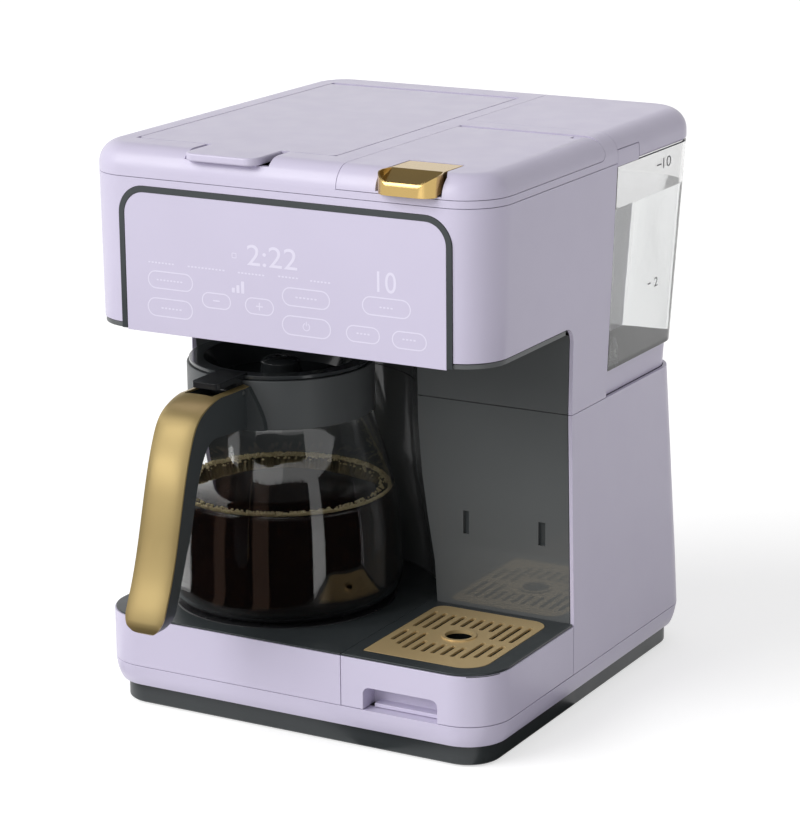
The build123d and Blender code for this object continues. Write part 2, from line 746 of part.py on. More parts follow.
# Torsion spring on the latch pin
latch_coil_radius = 2.3
latch_wire = 0.35
with BuildPart() as latch_spring:
    with BuildLine():
        Helix(
            pitch=1.3, height=2 * latch_slot - 1.6, radius=latch_coil_radius,
            center=(latch_x - latch_slot + 0.8, latch_axis_y, latch_axis_z), direction=(1, 0, 0),
        )
    coil = latch_spring.pending_edges[0]
    with BuildSketch(Plane(origin=coil @ 0, z_dir=coil % 0)):
        Circle(latch_wire)
    sweep(is_frenet=True)
save(latch_spring, "latch_spring")

# Piercing needle and its seal under the single-serve lid
needle_radius = 2.2
needle_taper = 6.0
needle_low = lip_level - 5.7
seal_radius = 12.0
seal_top = top_level - 9.0
seal_low = seal_top - 3.4
with BuildPart() as upper_needle:
    drum(pod_x, pod_y, needle_low, top_level - lid_wall, needle_radius)
    with Locations((pod_x, pod_y, needle_low - needle_taper / 2)):
        Cone(0.2, needle_radius, needle_taper)
    drum(pod_x, pod_y, seal_top, top_level - lid_wall, seal_radius)
save(upper_needle, "upper_needle")

with BuildPart() as pod_seal:
    drum(pod_x, pod_y, seal_low, seal_top, seal_radius)
    drum(pod_x, pod_y, 0, far, needle_radius + 0.2, mode=Mode.SUBTRACT)
save(pod_seal, "pod_seal")

# Pod holder, lifted out by its rim
holder_radius = pod_well_radius - well_wall - slide_play
holder_low = well_floor
holder_top = lip_level - 1.7
holder_floor = holder_top - 54.0
cup_radius = 26.5
cup_bore = 24.3
cup_drop = 3.25         # the funnel's inner cone lies this far above its outer one
lower_needle_radius = 4.0
rib_top = holder_floor + 26.0
with BuildPart() as pod_holder:
    drum(pod_x, pod_y, holder_floor, holder_top, cup_radius)
    drum(pod_x, pod_y, holder_top - 3.0, holder_top, holder_radius)
    with Locations((pod_x, pod_y, (holder_low + holder_floor) / 2)):
        Cone(spout_hole - 6.0, cup_radius, holder_floor - holder_low)
    with Locations((pod_x, pod_y, (holder_low + holder_floor) / 2 + cup_drop)):
        Cone(spout_hole - 8.2, cup_bore, holder_floor - holder_low, mode=Mode.SUBTRACT)
    for turn in range(4):
        with Locations(Location((pod_x, pod_y, (holder_low + rib_top) / 2), (0, 0, 45 + 90 * turn))):
            Box(2 * holder_radius, 1.6, rib_top - holder_low)
    drum(pod_x, pod_y, holder_floor + 1.0, far, cup_bore, mode=Mode.SUBTRACT)
    drum(pod_x, pod_y, 0, far, lower_needle_radius, mode=Mode.SUBTRACT)
save(pod_holder, "pod_holder")

with BuildPart() as lower_needle:
    drum(pod_x, pod_y, holder_floor - 6.0, holder_floor + 1.0, lower_needle_radius - 0.02)
    with Locations((pod_x, pod_y, holder_floor + 5.0)):
        Cone(3.0, 0.3, 8.0)
save(lower_needle, "lower_needle")

# Brew basket with its filter
basket_radius = well_radius - well_wall - 1.5
basket_low = well_floor
basket_top = lip_level - 11.7
basket_wall = 1.8
basket_hole = 6.0
stem_radius = 12.0
stem_low = boss_crest + 12.0
with BuildPart() as brew_basket:
    with BuildSketch(Plane.XZ.offset(-carafe_y)):
        with BuildLine():
            Polyline(
                (carafe_x, stem_low),
                (carafe_x + stem_radius, stem_low),
                (carafe_x + stem_radius, basket_low - 14.0),
                (carafe_x + outlet_hole - 8.0, basket_low),
                (carafe_x + basket_radius - 3.0, basket_low),
                (carafe_x + basket_radius, basket_low + 4.0),
                (carafe_x + basket_radius, basket_top),
                (carafe_x + basket_radius - basket_wall, basket_top),
                (carafe_x + basket_radius - basket_wall, basket_low + 4.0),
                (carafe_x + outlet_hole - 10.0, basket_low + 2.0),
                (carafe_x + stem_radius - basket_wall, basket_low - 12.0),
                (carafe_x + stem_radius - basket_wall, stem_low + 1.6),
                (carafe_x, stem_low + 1.6),
                close=True,
            )
        make_face()
    revolve(axis=Axis((carafe_x, carafe_y, 0), (0, 0, 1)))
    drum(carafe_x, carafe_y, 0, stem_low + 2, basket_hole, mode=Mode.SUBTRACT)
save(brew_basket, "brew_basket")

filter_low = basket_low + 8.0
filter_top = basket_top + 1.6
filter_foot = 28.0
filter_wall = 1.2
with BuildPart() as filter_cup:
    drum(carafe_x, carafe_y, basket_top, filter_top, basket_radius)
    with Locations((carafe_x, carafe_y, (filter_low + filter_top) / 2)):
        Cone(filter_foot, basket_radius - basket_wall - seat, filter_top - filter_low)
    with Locations((carafe_x, carafe_y, (filter_low + filter_top) / 2 + 1.4)):
        Cone(
            filter_foot - filter_wall, basket_radius - basket_wall - filter_wall, filter_top - filter_low,
            mode=Mode.SUBTRACT,
        )
save(filter_cup, "filter_cup")

# Drip stop under the basket, pushed up by the carafe lid
stop_flange_top = stem_low + 4.0
with BuildPart() as drip_stop:
    drum(carafe_x, carafe_y, stem_low - 6.0, stem_low + 9.0, basket_hole - slide_play)
    drum(carafe_x, carafe_y, stem_low + 1.6 + seat, stop_flange_top, basket_hole + 3.0)
save(drip_stop, "drip_stop")

drip_spring_height = 12.0
with BuildPart() as drip_spring:
    with BuildLine():
        Helix(
            pitch=3.0, height=drip_spring_height - 1.0, radius=basket_hole + 1.6,
            center=(carafe_x, carafe_y, stop_flange_top + 0.5),
        )
    coil = drip_spring.pending_edges[0]
    with BuildSketch(Plane(origin=coil @ 0, z_dir=coil % 0)):
        Circle(0.45)
    sweep(is_frenet=True)
save(drip_spring, "drip_spring")

# Shower head on the underside of the brew lid
shower_low = lip_level - 1.7
with BuildPart() as shower_head:
    drum(carafe_x, carafe_y, shower_low, shower_low + 4.0, 34.0)
    drum(carafe_x, carafe_y, shower_low + 4.0, top_level - lid_wall, 10.0)
save(shower_head, "shower_head")

# Pedestal under the tank, with a pin that stands under the tank's valve
pedestal_low = waist_level + seam
pedestal_top = tank_bottom - seam
valve_x = half_body - 20.0
valve_y = tank_front_low + 25.7
valve_seat = 2.3        # bore in the tank's floor
valve_plate = 3.2
valve_stem = 1.6
boss_drop = 3.0         # the bore's boss hangs this far under the tank
socket_depth = 6.0
socket_radius = valve_plate + 4.8
duct_radius = 3.0
with BuildPart() as tank_pedestal:
    add(body_block(pedestal_low, pedestal_top, pedestal_inset))
    add(tank_region(pedestal_inset, waist_level, lip_level), mode=Mode.INTERSECT)
    add(body_block(waist_level, pedestal_top - shell_wall, pedestal_inset + shell_wall), mode=Mode.SUBTRACT)
    box_between(
        tank_left + pedestal_inset, tank_left + pedestal_inset + shell_wall, tank_front_low + 13.7,
        rear_waist - 1.6, pedestal_low + 3.6, pedestal_top - 1,
    )
    drum(valve_x, valve_y, pedestal_top - socket_depth - 3.0, pedestal_top, socket_radius + 2.0)
    drum(valve_x, valve_y, pedestal_top - socket_depth, far, socket_radius, mode=Mode.SUBTRACT)
    drum(valve_x, valve_y, 0, far, duct_radius, mode=Mode.SUBTRACT)
    box_between(
        valve_x - duct_radius - 1, valve_x + duct_radius + 1, valve_y - 0.8, valve_y + 0.8,
        pedestal_top - socket_depth - 3.0, pedestal_top - socket_depth,
    )
    drum(valve_x, valve_y, pedestal_top - socket_depth - 3.0, tank_bottom - seat, 0.8)
save(tank_pedestal, "tank_pedestal")

# Water tank with two hinge lugs on its rear edge and a valve seat in its floor
lug_width = 9.6
lug_left = tank_left + 15.9
lug_right = half_body - 26.0 - lug_width
tank_barrel = 3.2
tank_axis_y = rear_top - tank_barrel
tank_axis_z = tank_lid_bottom + tank_barrel
tank_pin = 1.6
tank_gap = tank_region(seam, waist_level, lip_level)
tank_inside = tank_region(seam + tank_wall, waist_level, lip_level)
with BuildPart() as tank_cavity:
    add(body_block(tank_bottom, lip_level, tank_wall))
    add(tank_inside, mode=Mode.INTERSECT)
    box_between(-far, far, -far, far, 0, tank_bottom + tank_wall, mode=Mode.SUBTRACT)
with BuildPart() as water_tank:
    add(body_block(tank_bottom, tank_top))
    add(tank_gap, mode=Mode.INTERSECT)
    add(tank_cavity.part, mode=Mode.SUBTRACT)
    for x in (lug_left, lug_right):
        box_between(x, x + lug_width, tank_axis_y - 2.6, rear_top - 0.1, tank_top - 4.0, tank_axis_z)
        rod_x(x, x + lug_width, tank_axis_y, tank_axis_z, tank_barrel - 0.1)
    rod_x(
        lug_left - 1, lug_right + lug_width + 1, tank_axis_y, tank_axis_z, tank_pin + pin_play,
        mode=Mode.SUBTRACT,
    )
    boss_low = tank_bottom - boss_drop
    drum(valve_x, valve_y, boss_low, tank_bottom + tank_wall, valve_plate + 2.4)
    drum(valve_x, valve_y, boss_low, tank_bottom + tank_wall + 1, valve_seat, mode=Mode.SUBTRACT)
save(water_tank, "water_tank")

# Tank valve: a stem in the bore with a seal plate above it
plate_low_z = tank_bottom + tank_wall + seat
valve_spring_low = plate_low_z + 1.6
with BuildPart() as tank_valve:
    drum(valve_x, valve_y, tank_bottom, plate_low_z, valve_stem)
    drum(valve_x, valve_y, plate_low_z, valve_spring_low, valve_plate)
save(tank_valve, "tank_valve")

valve_spring_height = 6.4
with BuildPart() as valve_spring:
    with BuildLine():
        Helix(
            pitch=1.8, height=valve_spring_height - 0.8, radius=valve_plate - 0.8,
            center=(valve_x, valve_y, valve_spring_low + 0.4),
        )
    coil = valve_spring.pending_edges[0]
    with BuildSketch(Plane(origin=coil @ 0, z_dir=coil % 0)):
        Circle(0.3)
    sweep(is_frenet=True)
save(valve_spring, "valve_spring")

# Dark cage over the valve with a pointed top, it carries the upper end of the spring
cage_bore = valve_plate + seat
cage_radius = cage_bore + 0.9
cage_eave = valve_spring_low + valve_spring_height
window_height = 5.4
with BuildPart() as valve_cage:
    drum(valve_x, valve_y, tank_bottom + tank_wall, cage_eave, cage_radius)
    drum(valve_x, valve_y, 0, cage_eave, cage_bore, mode=Mode.SUBTRACT)
    for turn in (0, 90):
        with Locations(Location((valve_x, valve_y, cage_eave - 1.2 - window_height / 2), (0, 0, turn))):
            Box(3 * cage_radius, 4.4, window_height, mode=Mode.SUBTRACT)
    with Locations((valve_x, valve_y, cage_eave + 3.6)):
        Cone(cage_radius, 0.4, 7.2)
save(valve_cage, "valve_cage")

# Tank lid with its rear barrel, and the catch on the tank's front corner
catch_rear = tank_front_low + 40.7
catch_top = top_level - 10.7
catch_left = half_body - 12.0
lid_room = tank_region(seam, waist_level, top_level + 20)
with BuildPart() as lid_cavity:
    add(cap_block(lip_level - 4.0, lid_wall))
    add(tank_region(seam + lid_wall, waist_level, top_level + 20), mode=Mode.INTERSECT)
with BuildPart() as tank_lid:
    add(cap_block(tank_lid_bottom))
    add(lid_room, mode=Mode.INTERSECT)
    add(lid_cavity.part, mode=Mode.SUBTRACT)
    rear_edge = tank_lid.edges().group_by(Axis.Z)[0].filter_by(Axis.X).sort_by(Axis.Y)[-1]
    chamfer(rear_edge, 1.4)
    rod_x(lug_left + lug_width + seam, lug_right - seam, tank_axis_y, tank_axis_z, tank_barrel)
    for x in (lug_left, lug_right):
        box_between(
            x - seam, x + lug_width + seam, tank_axis_y - 2 * tank_barrel, far, waist_level,
            tank_axis_z + 5.2, mode=Mode.SUBTRACT,
        )
    rod_x(lug_left, lug_right, tank_axis_y, tank_axis_z, tank_pin + pin_play, mode=Mode.SUBTRACT)
    box_between(
        catch_left - seam, far, 0, catch_rear + seam, waist_level, catch_top + seam, mode=Mode.SUBTRACT
    )
save(tank_lid, "tank_lid")

with BuildPart() as tank_lid_pin:
    rod_x(lug_left, lug_right + lug_width, tank_axis_y, tank_axis_z, tank_pin)
save(tank_lid_pin, "tank_lid_pin")

with BuildPart() as tank_catch:
    add(cap_block(tank_top))
    add(lid_room, mode=Mode.INTERSECT)
    box_between(catch_left, far, 0, catch_rear, tank_top, catch_top, mode=Mode.INTERSECT)
save(tank_catch, "tank_catch")

# Deck under the carafe, with the hole for the warming plate
plate_radius = body_radius - 4.5
deck_inset = 0.8
with BuildPart() as deck_plate:
    with BuildSketch(Plane.XY.offset(deck_level)):
        body_plan(deck_level, deck_inset)
    extrude(amount=plate_top - deck_level)
    with BuildPart(mode=Mode.PRIVATE) as deck_room:
        add(niche_block(-seat))
        box_between(-far, far, -far, bay_back, 0, far, mode=Mode.SUBTRACT)
        box_between(-far, drawer_left - seam, -far, bay_back, 0, waist_level)
    add(deck_room.part, mode=Mode.INTERSECT)
    drum(carafe_x, carafe_y, 0, 100, plate_radius + 0.5, mode=Mode.SUBTRACT)
save(deck_plate, "deck_plate")

# Warming plate and the U-shaped water heater under it
heater_radius = plate_radius - 19.5
heater_tube = 5.0
heater_z = deck_level - 12.0
heater_end = bay_back + 37.0
plate_low = plate_top - 4.4
with BuildPart() as warming_plate:
    drum(carafe_x, carafe_y, plate_low, plate_top, plate_radius)
    chamfer(warming_plate.edges().group_by(Axis.Z)[-1], 0.8)
save(warming_plate, "warming_plate")

with BuildPart() as water_heater:
    with BuildSketch(Plane.XZ.offset(-carafe_y)):
        with Locations((carafe_x + heater_radius, heater_z)):
            Circle(heater_tube)
        with Locations((carafe_x + heater_radius, (heater_z + plate_low) / 2)):
            Rectangle(7.0, plate_low - heater_z)
    revolve(axis=Axis((carafe_x, carafe_y, 0), (0, 0, -1)), revolution_arc=180)
    for x in (carafe_x - heater_radius, carafe_x + heater_radius):
        rod_y(x, carafe_y, heater_end, heater_z, heater_tube)
    for x, y in ((-heater_radius, 0), (heater_radius, 0), (0, -heater_radius)):
        drum(carafe_x + x, carafe_y + y, floor_top, heater_z, 4.0)
save(water_heater, "water_heater")

# Drip drawer
drawer_back = bay_back - seam
drawer_low = skirt_top + seam
with BuildPart() as drip_drawer:
    add(body_block(drawer_low, deck_level))
    box_between(drawer_left + seam / 2, far, -far, drawer_back, 0, far, mode=Mode.INTERSECT)
    with BuildPart(mode=Mode.PRIVATE) as drawer_cavity:
        add(body_block(drawer_low, deck_level, drawer_wall))
        box_between(
            drawer_left + seam / 2 + drawer_wall, far, -far, drawer_back - drawer_wall,
            drawer_low + drawer_wall, far, mode=Mode.INTERSECT,
        )
    add(drawer_cavity.part, mode=Mode.SUBTRACT)
    box_between(
        recess_left - 2, recess_right + 2, front_face + 1, front_face + recess_depth + 2,
        drawer_low, recess_top + 2,
    )
    with BuildPart(mode=Mode.PRIVATE) as finger_recess:
        box_between(recess_left, recess_right, -far, front_face + recess_depth, 0, recess_top)
        fillet(finger_recess.edges().filter_by(Axis.Y).group_by(Axis.Z)[-1], recess_round)
        box_between(
            ledge_left, far, front_face + ledge_start, far, 0, recess_ledge, mode=Mode.SUBTRACT
        )
    add(finger_recess.part, mode=Mode.SUBTRACT)
save(drip_drawer, "drip_drawer")

# Dark surround that the grate lies in
surround_top = deck_level + 1.6
ledge_low = deck_level - 1.6
ledge_reach = 3.0
corner_front_left = 1.0
corner_front_right = 16.0
corner_rear_right = 11.0
corner_rear_left = 8.0


def grate_plan(gap, low, high):
    """Block with the plan of the grate and its four different corners."""
    with BuildPart() as block:
        box_between(grate_left - gap, grate_right + gap, grate_front - gap, grate_back + gap, low, high)
        upright = block.edges().filter_by(Axis.Z).group_by(Axis.Y)
        front_pair = upright[0].sort_by(Axis.X)
        rear_pair = upright[-1].sort_by(Axis.X)
        for edge, radius in (
            (front_pair[0], corner_front_left),
            (front_pair[1], corner_front_right),
            (rear_pair[0], corner_rear_left),
            (rear_pair[1], corner_rear_right),
        ):
            fillet(edge, max(radius + gap, 0.5))
    return block.part


with BuildPart() as drip_surround:
    with BuildSketch(Plane.XY.offset(deck_level)):
        body_plan(deck_level, deck_inset)
    extrude(amount=surround_top - deck_level)
    with BuildSketch(Plane.XY.offset(ledge_low)):
        body_plan(deck_level, drawer_wall + slide_play)
    extrude(amount=deck_level - ledge_low)
    box_between(drawer_left + seam / 2, far, -far, drawer_back, 0, far, mode=Mode.INTERSECT)
    ledge_in = drawer_wall + slide_play
    box_between(-far, drawer_left + seam / 2 + ledge_in, -far, far, 0, deck_level, mode=Mode.SUBTRACT)
    box_between(-far, far, drawer_back - ledge_in, far, 0, deck_level, mode=Mode.SUBTRACT)
    add(grate_plan(seat, deck_level, 100), mode=Mode.SUBTRACT)
    add(grate_plan(-ledge_reach, 0, 100), mode=Mode.SUBTRACT)
save(drip_surround, "drip_surround")

# Drip grate
slot_pitch = 6.87
slot_width = 3.0
slot_margin = 4.5
hole_x = (grate_left + grate_right) / 2 - 0.05
hole_y = pod_y - 0.6
hole_radius = 9.0
hole_side = 2           # columns on each side of the middle one that stop short of the hole
slot_side = int((grate_right - hole_x - slot_margin) / slot_pitch)
slot_rear = grate_back - 13.3
slot_front = grate_front + 14.7
slot_break_rear = hole_y + 3.1
slot_break_front = hole_y - 4.4
hole_rear_end = hole_y + 15.6
hole_front_end = hole_y - 17.7
front_cuts = (0.0, 0.0, 0.0, 0.6, 5.2, 10.6)    # the outer columns end further back at the front
with BuildPart() as drip_grate:
    add(grate_plan(0.0, deck_level, grate_level))
    drum(hole_x, hole_y, grate_level - 0.1, grate_level + 0.8, hole_radius + 2.2)
    drum(hole_x, hole_y, 0, 100, hole_radius, mode=Mode.SUBTRACT)
    with BuildSketch(Plane.XY.offset(deck_level)):
        for column in range(-slot_side, slot_side + 1):
            x = hole_x + column * slot_pitch
            near = abs(column) <= hole_side
            rear_end = hole_rear_end if near else slot_break_rear
            front_start = hole_front_end if near else slot_break_front
            front_end = slot_front + front_cuts[min(abs(column), len(front_cuts) - 1)]
            for y0, y1 in ((rear_end, slot_rear), (front_end, front_start)):
                with Locations((x, (y0 + y1) / 2)):
                    SlotOverall(y1 - y0, slot_width, rotation=90)
    extrude(amount=grate_thick + 1, mode=Mode.SUBTRACT)
save(drip_grate, "drip_grate")

# Carafe
glass_wall = 2.2
foot_radius = body_radius - 16.0
widest_level = glass_low + 16.4


def carafe_solid(inset, top):
    """Solid body of revolution with the outline of the carafe."""
    with BuildPart() as block:
        with BuildSketch(Plane.XZ.offset(-carafe_y)):
            with BuildLine():
                foot = (carafe_x + foot_radius - inset, glass_low + inset)
                widest = (carafe_x + body_radius - inset, widest_level)
                neck = (carafe_x + neck_radius - inset, glass_top - 18.0)
                Line((carafe_x, glass_low + inset), foot)
                heel = (carafe_x + body_radius - 4.2 - inset, glass_low + 4.8 + inset / 2)
                ThreePointArc(foot, heel, widest)
                Spline(
                    widest, (carafe_x + body_radius - 4.5 - inset, glass_low + 73.9),
                    (carafe_x + neck_radius + 1.7 - inset, glass_top - 32.0), neck,
                    tangents=((0, 1), (0, 1)),
                )
                Line(neck, (carafe_x + neck_radius - inset, top))
                Line((carafe_x + neck_radius - inset, top), (carafe_x, top))
                Line((carafe_x, top), (carafe_x, glass_low + inset))
            make_face()
        revolve(axis=Axis((carafe_x, carafe_y, 0), (0, 0, 1)))
    return block.part


with BuildPart() as carafe_glass:
    add(carafe_solid(0.0, glass_top))
    add(carafe_solid(glass_wall, glass_top + 1), mode=Mode.SUBTRACT)
    fillet(carafe_glass.edges().group_by(Axis.Z)[-1], 0.8)
save(carafe_glass, "carafe_glass")

# Dark collar round the neck
collar_low = glass_top - 30.5
collar_top = glass_top + 1.5
collar_inner = neck_radius + 2.0
collar_outer = collar_inner + 1.6
with BuildPart() as carafe_collar:
    drum(carafe_x, carafe_y, collar_low, collar_top, collar_outer)
    drum(carafe_x, carafe_y, 0, glass_top + 0.3, collar_inner, mode=Mode.SUBTRACT)
    drum(carafe_x, carafe_y, 0, far, neck_radius - glass_wall, mode=Mode.SUBTRACT)
save(carafe_collar, "carafe_collar")

# Handle: a dark grip with a gold cover over its back
handle_half = 14.2
cover_back = 2.2
cover_top = 2.0
end_round = 14.0        # lower end of the handle, seen from the front
tongue_half = 10.0
grip_start = 98.0       # the level top of the handle ends this far from the carafe's axis
root_reach = collar_outer + 0.8
hinge_reach = collar_outer + 5.2
hinge_z = glass_top - 5.0
tongue_slot_low = hinge_z - 4.0
lid_pin_radius = 1.5
# side outline of the grip: share of the way from its start to its tip, and how far below the glass's rim
grip_outside = (
    (0.18, 2.8), (0.338, 9.2), (0.463, 23.0), (0.618, 54.0), (0.766, 89.5), (0.885, 111.5), (0.971, 125.0),
    (0.997, 131.0),
)
grip_tip = ((0.94, 136.8), (0.828, 135.4))
grip_inside = ((0.52, 89.0), (0.385, 63.6), (0.241, 38.0), (0.144, 29.4), (0.0, 26.4))
grip_heel = (0.73, 124.6)


def handle_block(back, down, half, rounded=0.0):
    """Solid with the side outline of the handle, moved towards the grip."""

    def at(reach, below):
        return (carafe_y - reach + back, glass_top - below - down)

    def on_grip(share, below):
        return at(grip_start + share * (handle_reach - grip_start), below)

    with BuildPart() as block:
        with BuildSketch(Plane.YZ.offset(carafe_x - half)):
            with BuildLine():
                top_end = at(grip_start - 1.7, -0.6)
                outside = [on_grip(*point) for point in grip_outside]
                inside = [on_grip(*point) for point in grip_inside]
                tip_middle, tip_end = [on_grip(*point) for point in grip_tip]
                heel = on_grip(*grip_heel)
                Line(at(root_reach, 0.0), top_end)
                Spline(top_end, *outside)
                ThreePointArc(outside[-1], tip_middle, tip_end)
                Polyline(tip_end, heel, inside[0])
                Spline(*inside)
                Polyline(inside[-1], at(root_reach, 28.4), at(root_reach, 0.0))
            make_face()
        extrude(amount=2 * half)
        if rounded:
            low = block.part.bounding_box().min.Z
            with BuildPart(mode=Mode.PRIVATE) as front_view:
                box_between(carafe_x - half, carafe_x + half, -far, far, low, far)
                low_corners = front_view.edges().filter_by(Axis.Y).group_by(Axis.Z)[0]
                fillet(low_corners, min(rounded, half - 0.2))
            add(front_view.part, mode=Mode.INTERSECT)
    return block.part


with BuildPart() as tongue_slot:
    box_between(
        carafe_x - tongue_half - 0.4, carafe_x + tongue_half + 0.4, carafe_y - grip_start,
        carafe_y - collar_outer, tongue_slot_low, glass_top + 9.0,
    )

with BuildPart() as hinge_room:
    rod_x(-far, far, carafe_y - hinge_reach, hinge_z, lid_pin_radius + pin_play)

# Grip with a root that spreads over the collar
root_thick = 3.6
root_half = 24.0        # half width of its foot
# how far down the root is, from the rim to its foot, and how far it has spread there
root_spread = ((1.0, 1.0), (0.7, 0.86), (0.4, 0.55), (0.0, 0.0))
with BuildPart() as carafe_handle:
    add(handle_block(cover_back + 0.1, cover_top + 0.1, handle_half - 1.0))
    add(handle_block(0.0, 0.0, handle_half - 1.0, end_round), mode=Mode.INTERSECT)
    with BuildPart(mode=Mode.PRIVATE) as root:
        for down, spread in root_spread:
            with BuildSketch(Plane.XY.offset(glass_top - 2.0 - down * (glass_top - collar_low - 2.5))):
                half = handle_half + spread * (root_half - handle_half)
                with Locations((carafe_x, carafe_y - (collar_outer + root_thick) / 2)):
                    Rectangle(2 * half, collar_outer + root_thick)
        loft()
        drum(carafe_x, carafe_y, 0, far, collar_outer + root_thick, mode=Mode.INTERSECT)
    add(root.part)
    drum(carafe_x, carafe_y, 0, far, collar_outer + 0.1, mode=Mode.SUBTRACT)
    box_between(-far, far, carafe_y - 38.0, 0, 0, far, mode=Mode.SUBTRACT)
    add(tongue_slot.part, mode=Mode.SUBTRACT)
    add(hinge_room.part, mode=Mode.SUBTRACT)
save(carafe_handle, "carafe_handle")

with BuildPart() as handle_cover:
    add(handle_block(0.0, 0.0, handle_half, end_round))
    add(handle_block(cover_back, cover_top, handle_half + 1), mode=Mode.SUBTRACT)
    drum(carafe_x, carafe_y, 0, far, collar_outer + 0.3, mode=Mode.SUBTRACT)
    add(tongue_slot.part, mode=Mode.SUBTRACT)
save(handle_cover, "handle_cover")

# Carafe lid, bowl shaped with a boss under the outlet
lid_rim_low = glass_top + 2.0
lid_rim_top = lid_rim_low + 2.4
lid_radius = collar_inner + 0.2
bowl_floor = glass_top - 13.0
bowl_foot = neck_radius - 13.2
boss_radius_low = 14.0
boss_hole = 3.0
with BuildPart() as carafe_lid:
    with BuildSketch(Plane.XZ.offset(-carafe_y)):
        with BuildLine():
            boss_side = (carafe_x + boss_radius_low - 1.0, boss_crest - 3.0)
            boss_end = (carafe_x + boss_hole, boss_crest)
            Polyline(
                (carafe_x + boss_hole, bowl_floor),
                (carafe_x + bowl_foot, bowl_floor),
                (carafe_x + bowl_foot + 7.0, lid_rim_low),
                (carafe_x + lid_radius, lid_rim_low),
                (carafe_x + lid_radius, lid_rim_top),
                (carafe_x + bowl_foot + 6.0, lid_rim_top),
                (carafe_x + bowl_foot - 1.6, bowl_floor + 2.0),
                (carafe_x + boss_radius_low, bowl_floor + 2.0),
                boss_side,
            )
            ThreePointArc(boss_side, (carafe_x + boss_radius_low - 5.0, boss_crest - 0.6), boss_end)
            Line(boss_end, (carafe_x + boss_hole, bowl_floor))
        make_face()
    revolve(axis=Axis((carafe_x, carafe_y, 0), (0, 0, 1)))
save(carafe_lid, "carafe_lid")

# Black thumb tongue that lifts the lid
tongue_top = lid_rim_top + 1.4
tongue_end = grip_start - 7.0
with BuildPart() as lid_tongue:
    box_between(
        carafe_x - tongue_half, carafe_x + tongue_half, carafe_y - tongue_end, carafe_y - lid_radius + 3.4,
        lid_rim_top, tongue_top,
    )
    box_between(
        carafe_x - tongue_half, carafe_x + tongue_half, carafe_y - tongue_end, carafe_y - lid_radius - 0.1,
        lid_rim_low - 0.1, lid_rim_top,
    )
    fillet(lid_tongue.edges().filter_by(Axis.Z).group_by(Axis.Y)[0], 3.0)
    box_between(
        carafe_x - tongue_half, carafe_x + tongue_half, carafe_y - hinge_reach - 3.0,
        carafe_y - collar_outer - 1.4, hinge_z, lid_rim_low,
    )
    rod_x(carafe_x - tongue_half, carafe_x + tongue_half, carafe_y - hinge_reach, hinge_z, 3.4)
    add(hinge_room.part, mode=Mode.SUBTRACT)
save(lid_tongue, "lid_tongue")

with BuildPart() as carafe_lid_pin:
    rod_x(
        carafe_x - handle_half + 1.2, carafe_x + handle_half - 1.2, carafe_y - hinge_reach, hinge_z,
        lid_pin_radius,
    )
save(carafe_lid_pin, "carafe_lid_pin")

# Pump, valve and hoses inside the body
pump_z = heater_z
pump_y = valve_y
pump_right = half_body - 16.0
pump_left = pump_right - 62.0
pump_radius = 15.0
nozzle_radius = duct_radius
hose_radius = 4.6
hose_bore = nozzle_radius + 0.1
with BuildPart() as water_pump:
    rod_x(pump_left, pump_right, pump_y, pump_z, pump_radius)
    box_between(pump_left + 12, pump_left + 40, pump_y - 19, pump_y + 19, pump_z - 17, pump_z + 17)
    for y in (pump_y - 14, pump_y + 14):
        box_between(pump_left + 16, pump_left + 36, y - 3, y + 3, floor_top, pump_z)
    rod_x(pump_left - 14, pump_left, pump_y, pump_z, nozzle_radius)
    drum(valve_x, valve_y, pump_z, pump_z + 32, nozzle_radius)
save(water_pump, "water_pump")


def hose(points, bend):
    """Hose through the given corners with round bends."""
    with BuildPart() as block:
        with BuildLine() as route:
            FilletPolyline(*points, radius=bend)
        start = Vector(*points[0])
        heading = Vector(*points[1]) - start
        with BuildSketch(Plane(origin=start, z_dir=heading)):
            Circle(hose_radius)
            Circle(hose_bore, mode=Mode.SUBTRACT)
        sweep(path=route.wires()[0])
    return block.part


heater_outlet = carafe_x - heater_radius
flow_left = heater_outlet - 16.0
flow_right = heater_outlet + 16.0
flow_half = 11.0
branch = 9.0            # the two outlets lie this far from the middle
heater_inlet = carafe_x + heater_radius
flow_back = heater_end + 34.0
with BuildPart() as flow_valve:
    box_between(
        flow_left, flow_right, heater_end + seat, flow_back, heater_z - flow_half, heater_z + flow_half
    )
    box_between(flow_left + 6, flow_right - 6, heater_end + 6, flow_back - 6, floor_top, heater_z)
    rod_x(flow_right, flow_right + 12, heater_end + 17, heater_z, 7.0)
    for x in (heater_outlet - branch, heater_outlet + branch):
        rod_y(x, flow_back, flow_back + 12, heater_z, nozzle_radius)
save(flow_valve, "flow_valve")

with BuildPart() as tank_hose:
    drum(valve_x, valve_y, pump_z + 20, pedestal_top - 9.3, hose_radius)
    drum(valve_x, valve_y, 0, far, hose_bore, mode=Mode.SUBTRACT)
save(tank_hose, "tank_hose")

with BuildPart() as pump_hose:
    add(hose(
        [
            (pump_left - 1, pump_y, pump_z),
            (heater_inlet, pump_y, pump_z),
            (heater_inlet, heater_end + seat, pump_z),
        ],
        18,
    ))
save(pump_hose, "pump_hose")

riser_y = flow_back + 50.0
riser_top = top_deck_low - seat
cross_z = lip_level - 21.7      # level of the pipe that crosses to the brew basket
pod_cross_z = cross_z - 10.0
pod_riser_x = tank_left - 16.1
pod_riser_y = bay_back + 21.0
riser_bend = 14
with BuildPart() as brew_riser:
    left = heater_outlet - branch
    add(hose(
        [
            (left, flow_back + seat, heater_z),
            (left, riser_y, heater_z),
            (left, riser_y, cross_z),
            (carafe_x, riser_y - 40, cross_z),
            (carafe_x, riser_y - 40, riser_top),
        ],
        riser_bend,
    ))
save(brew_riser, "brew_riser")

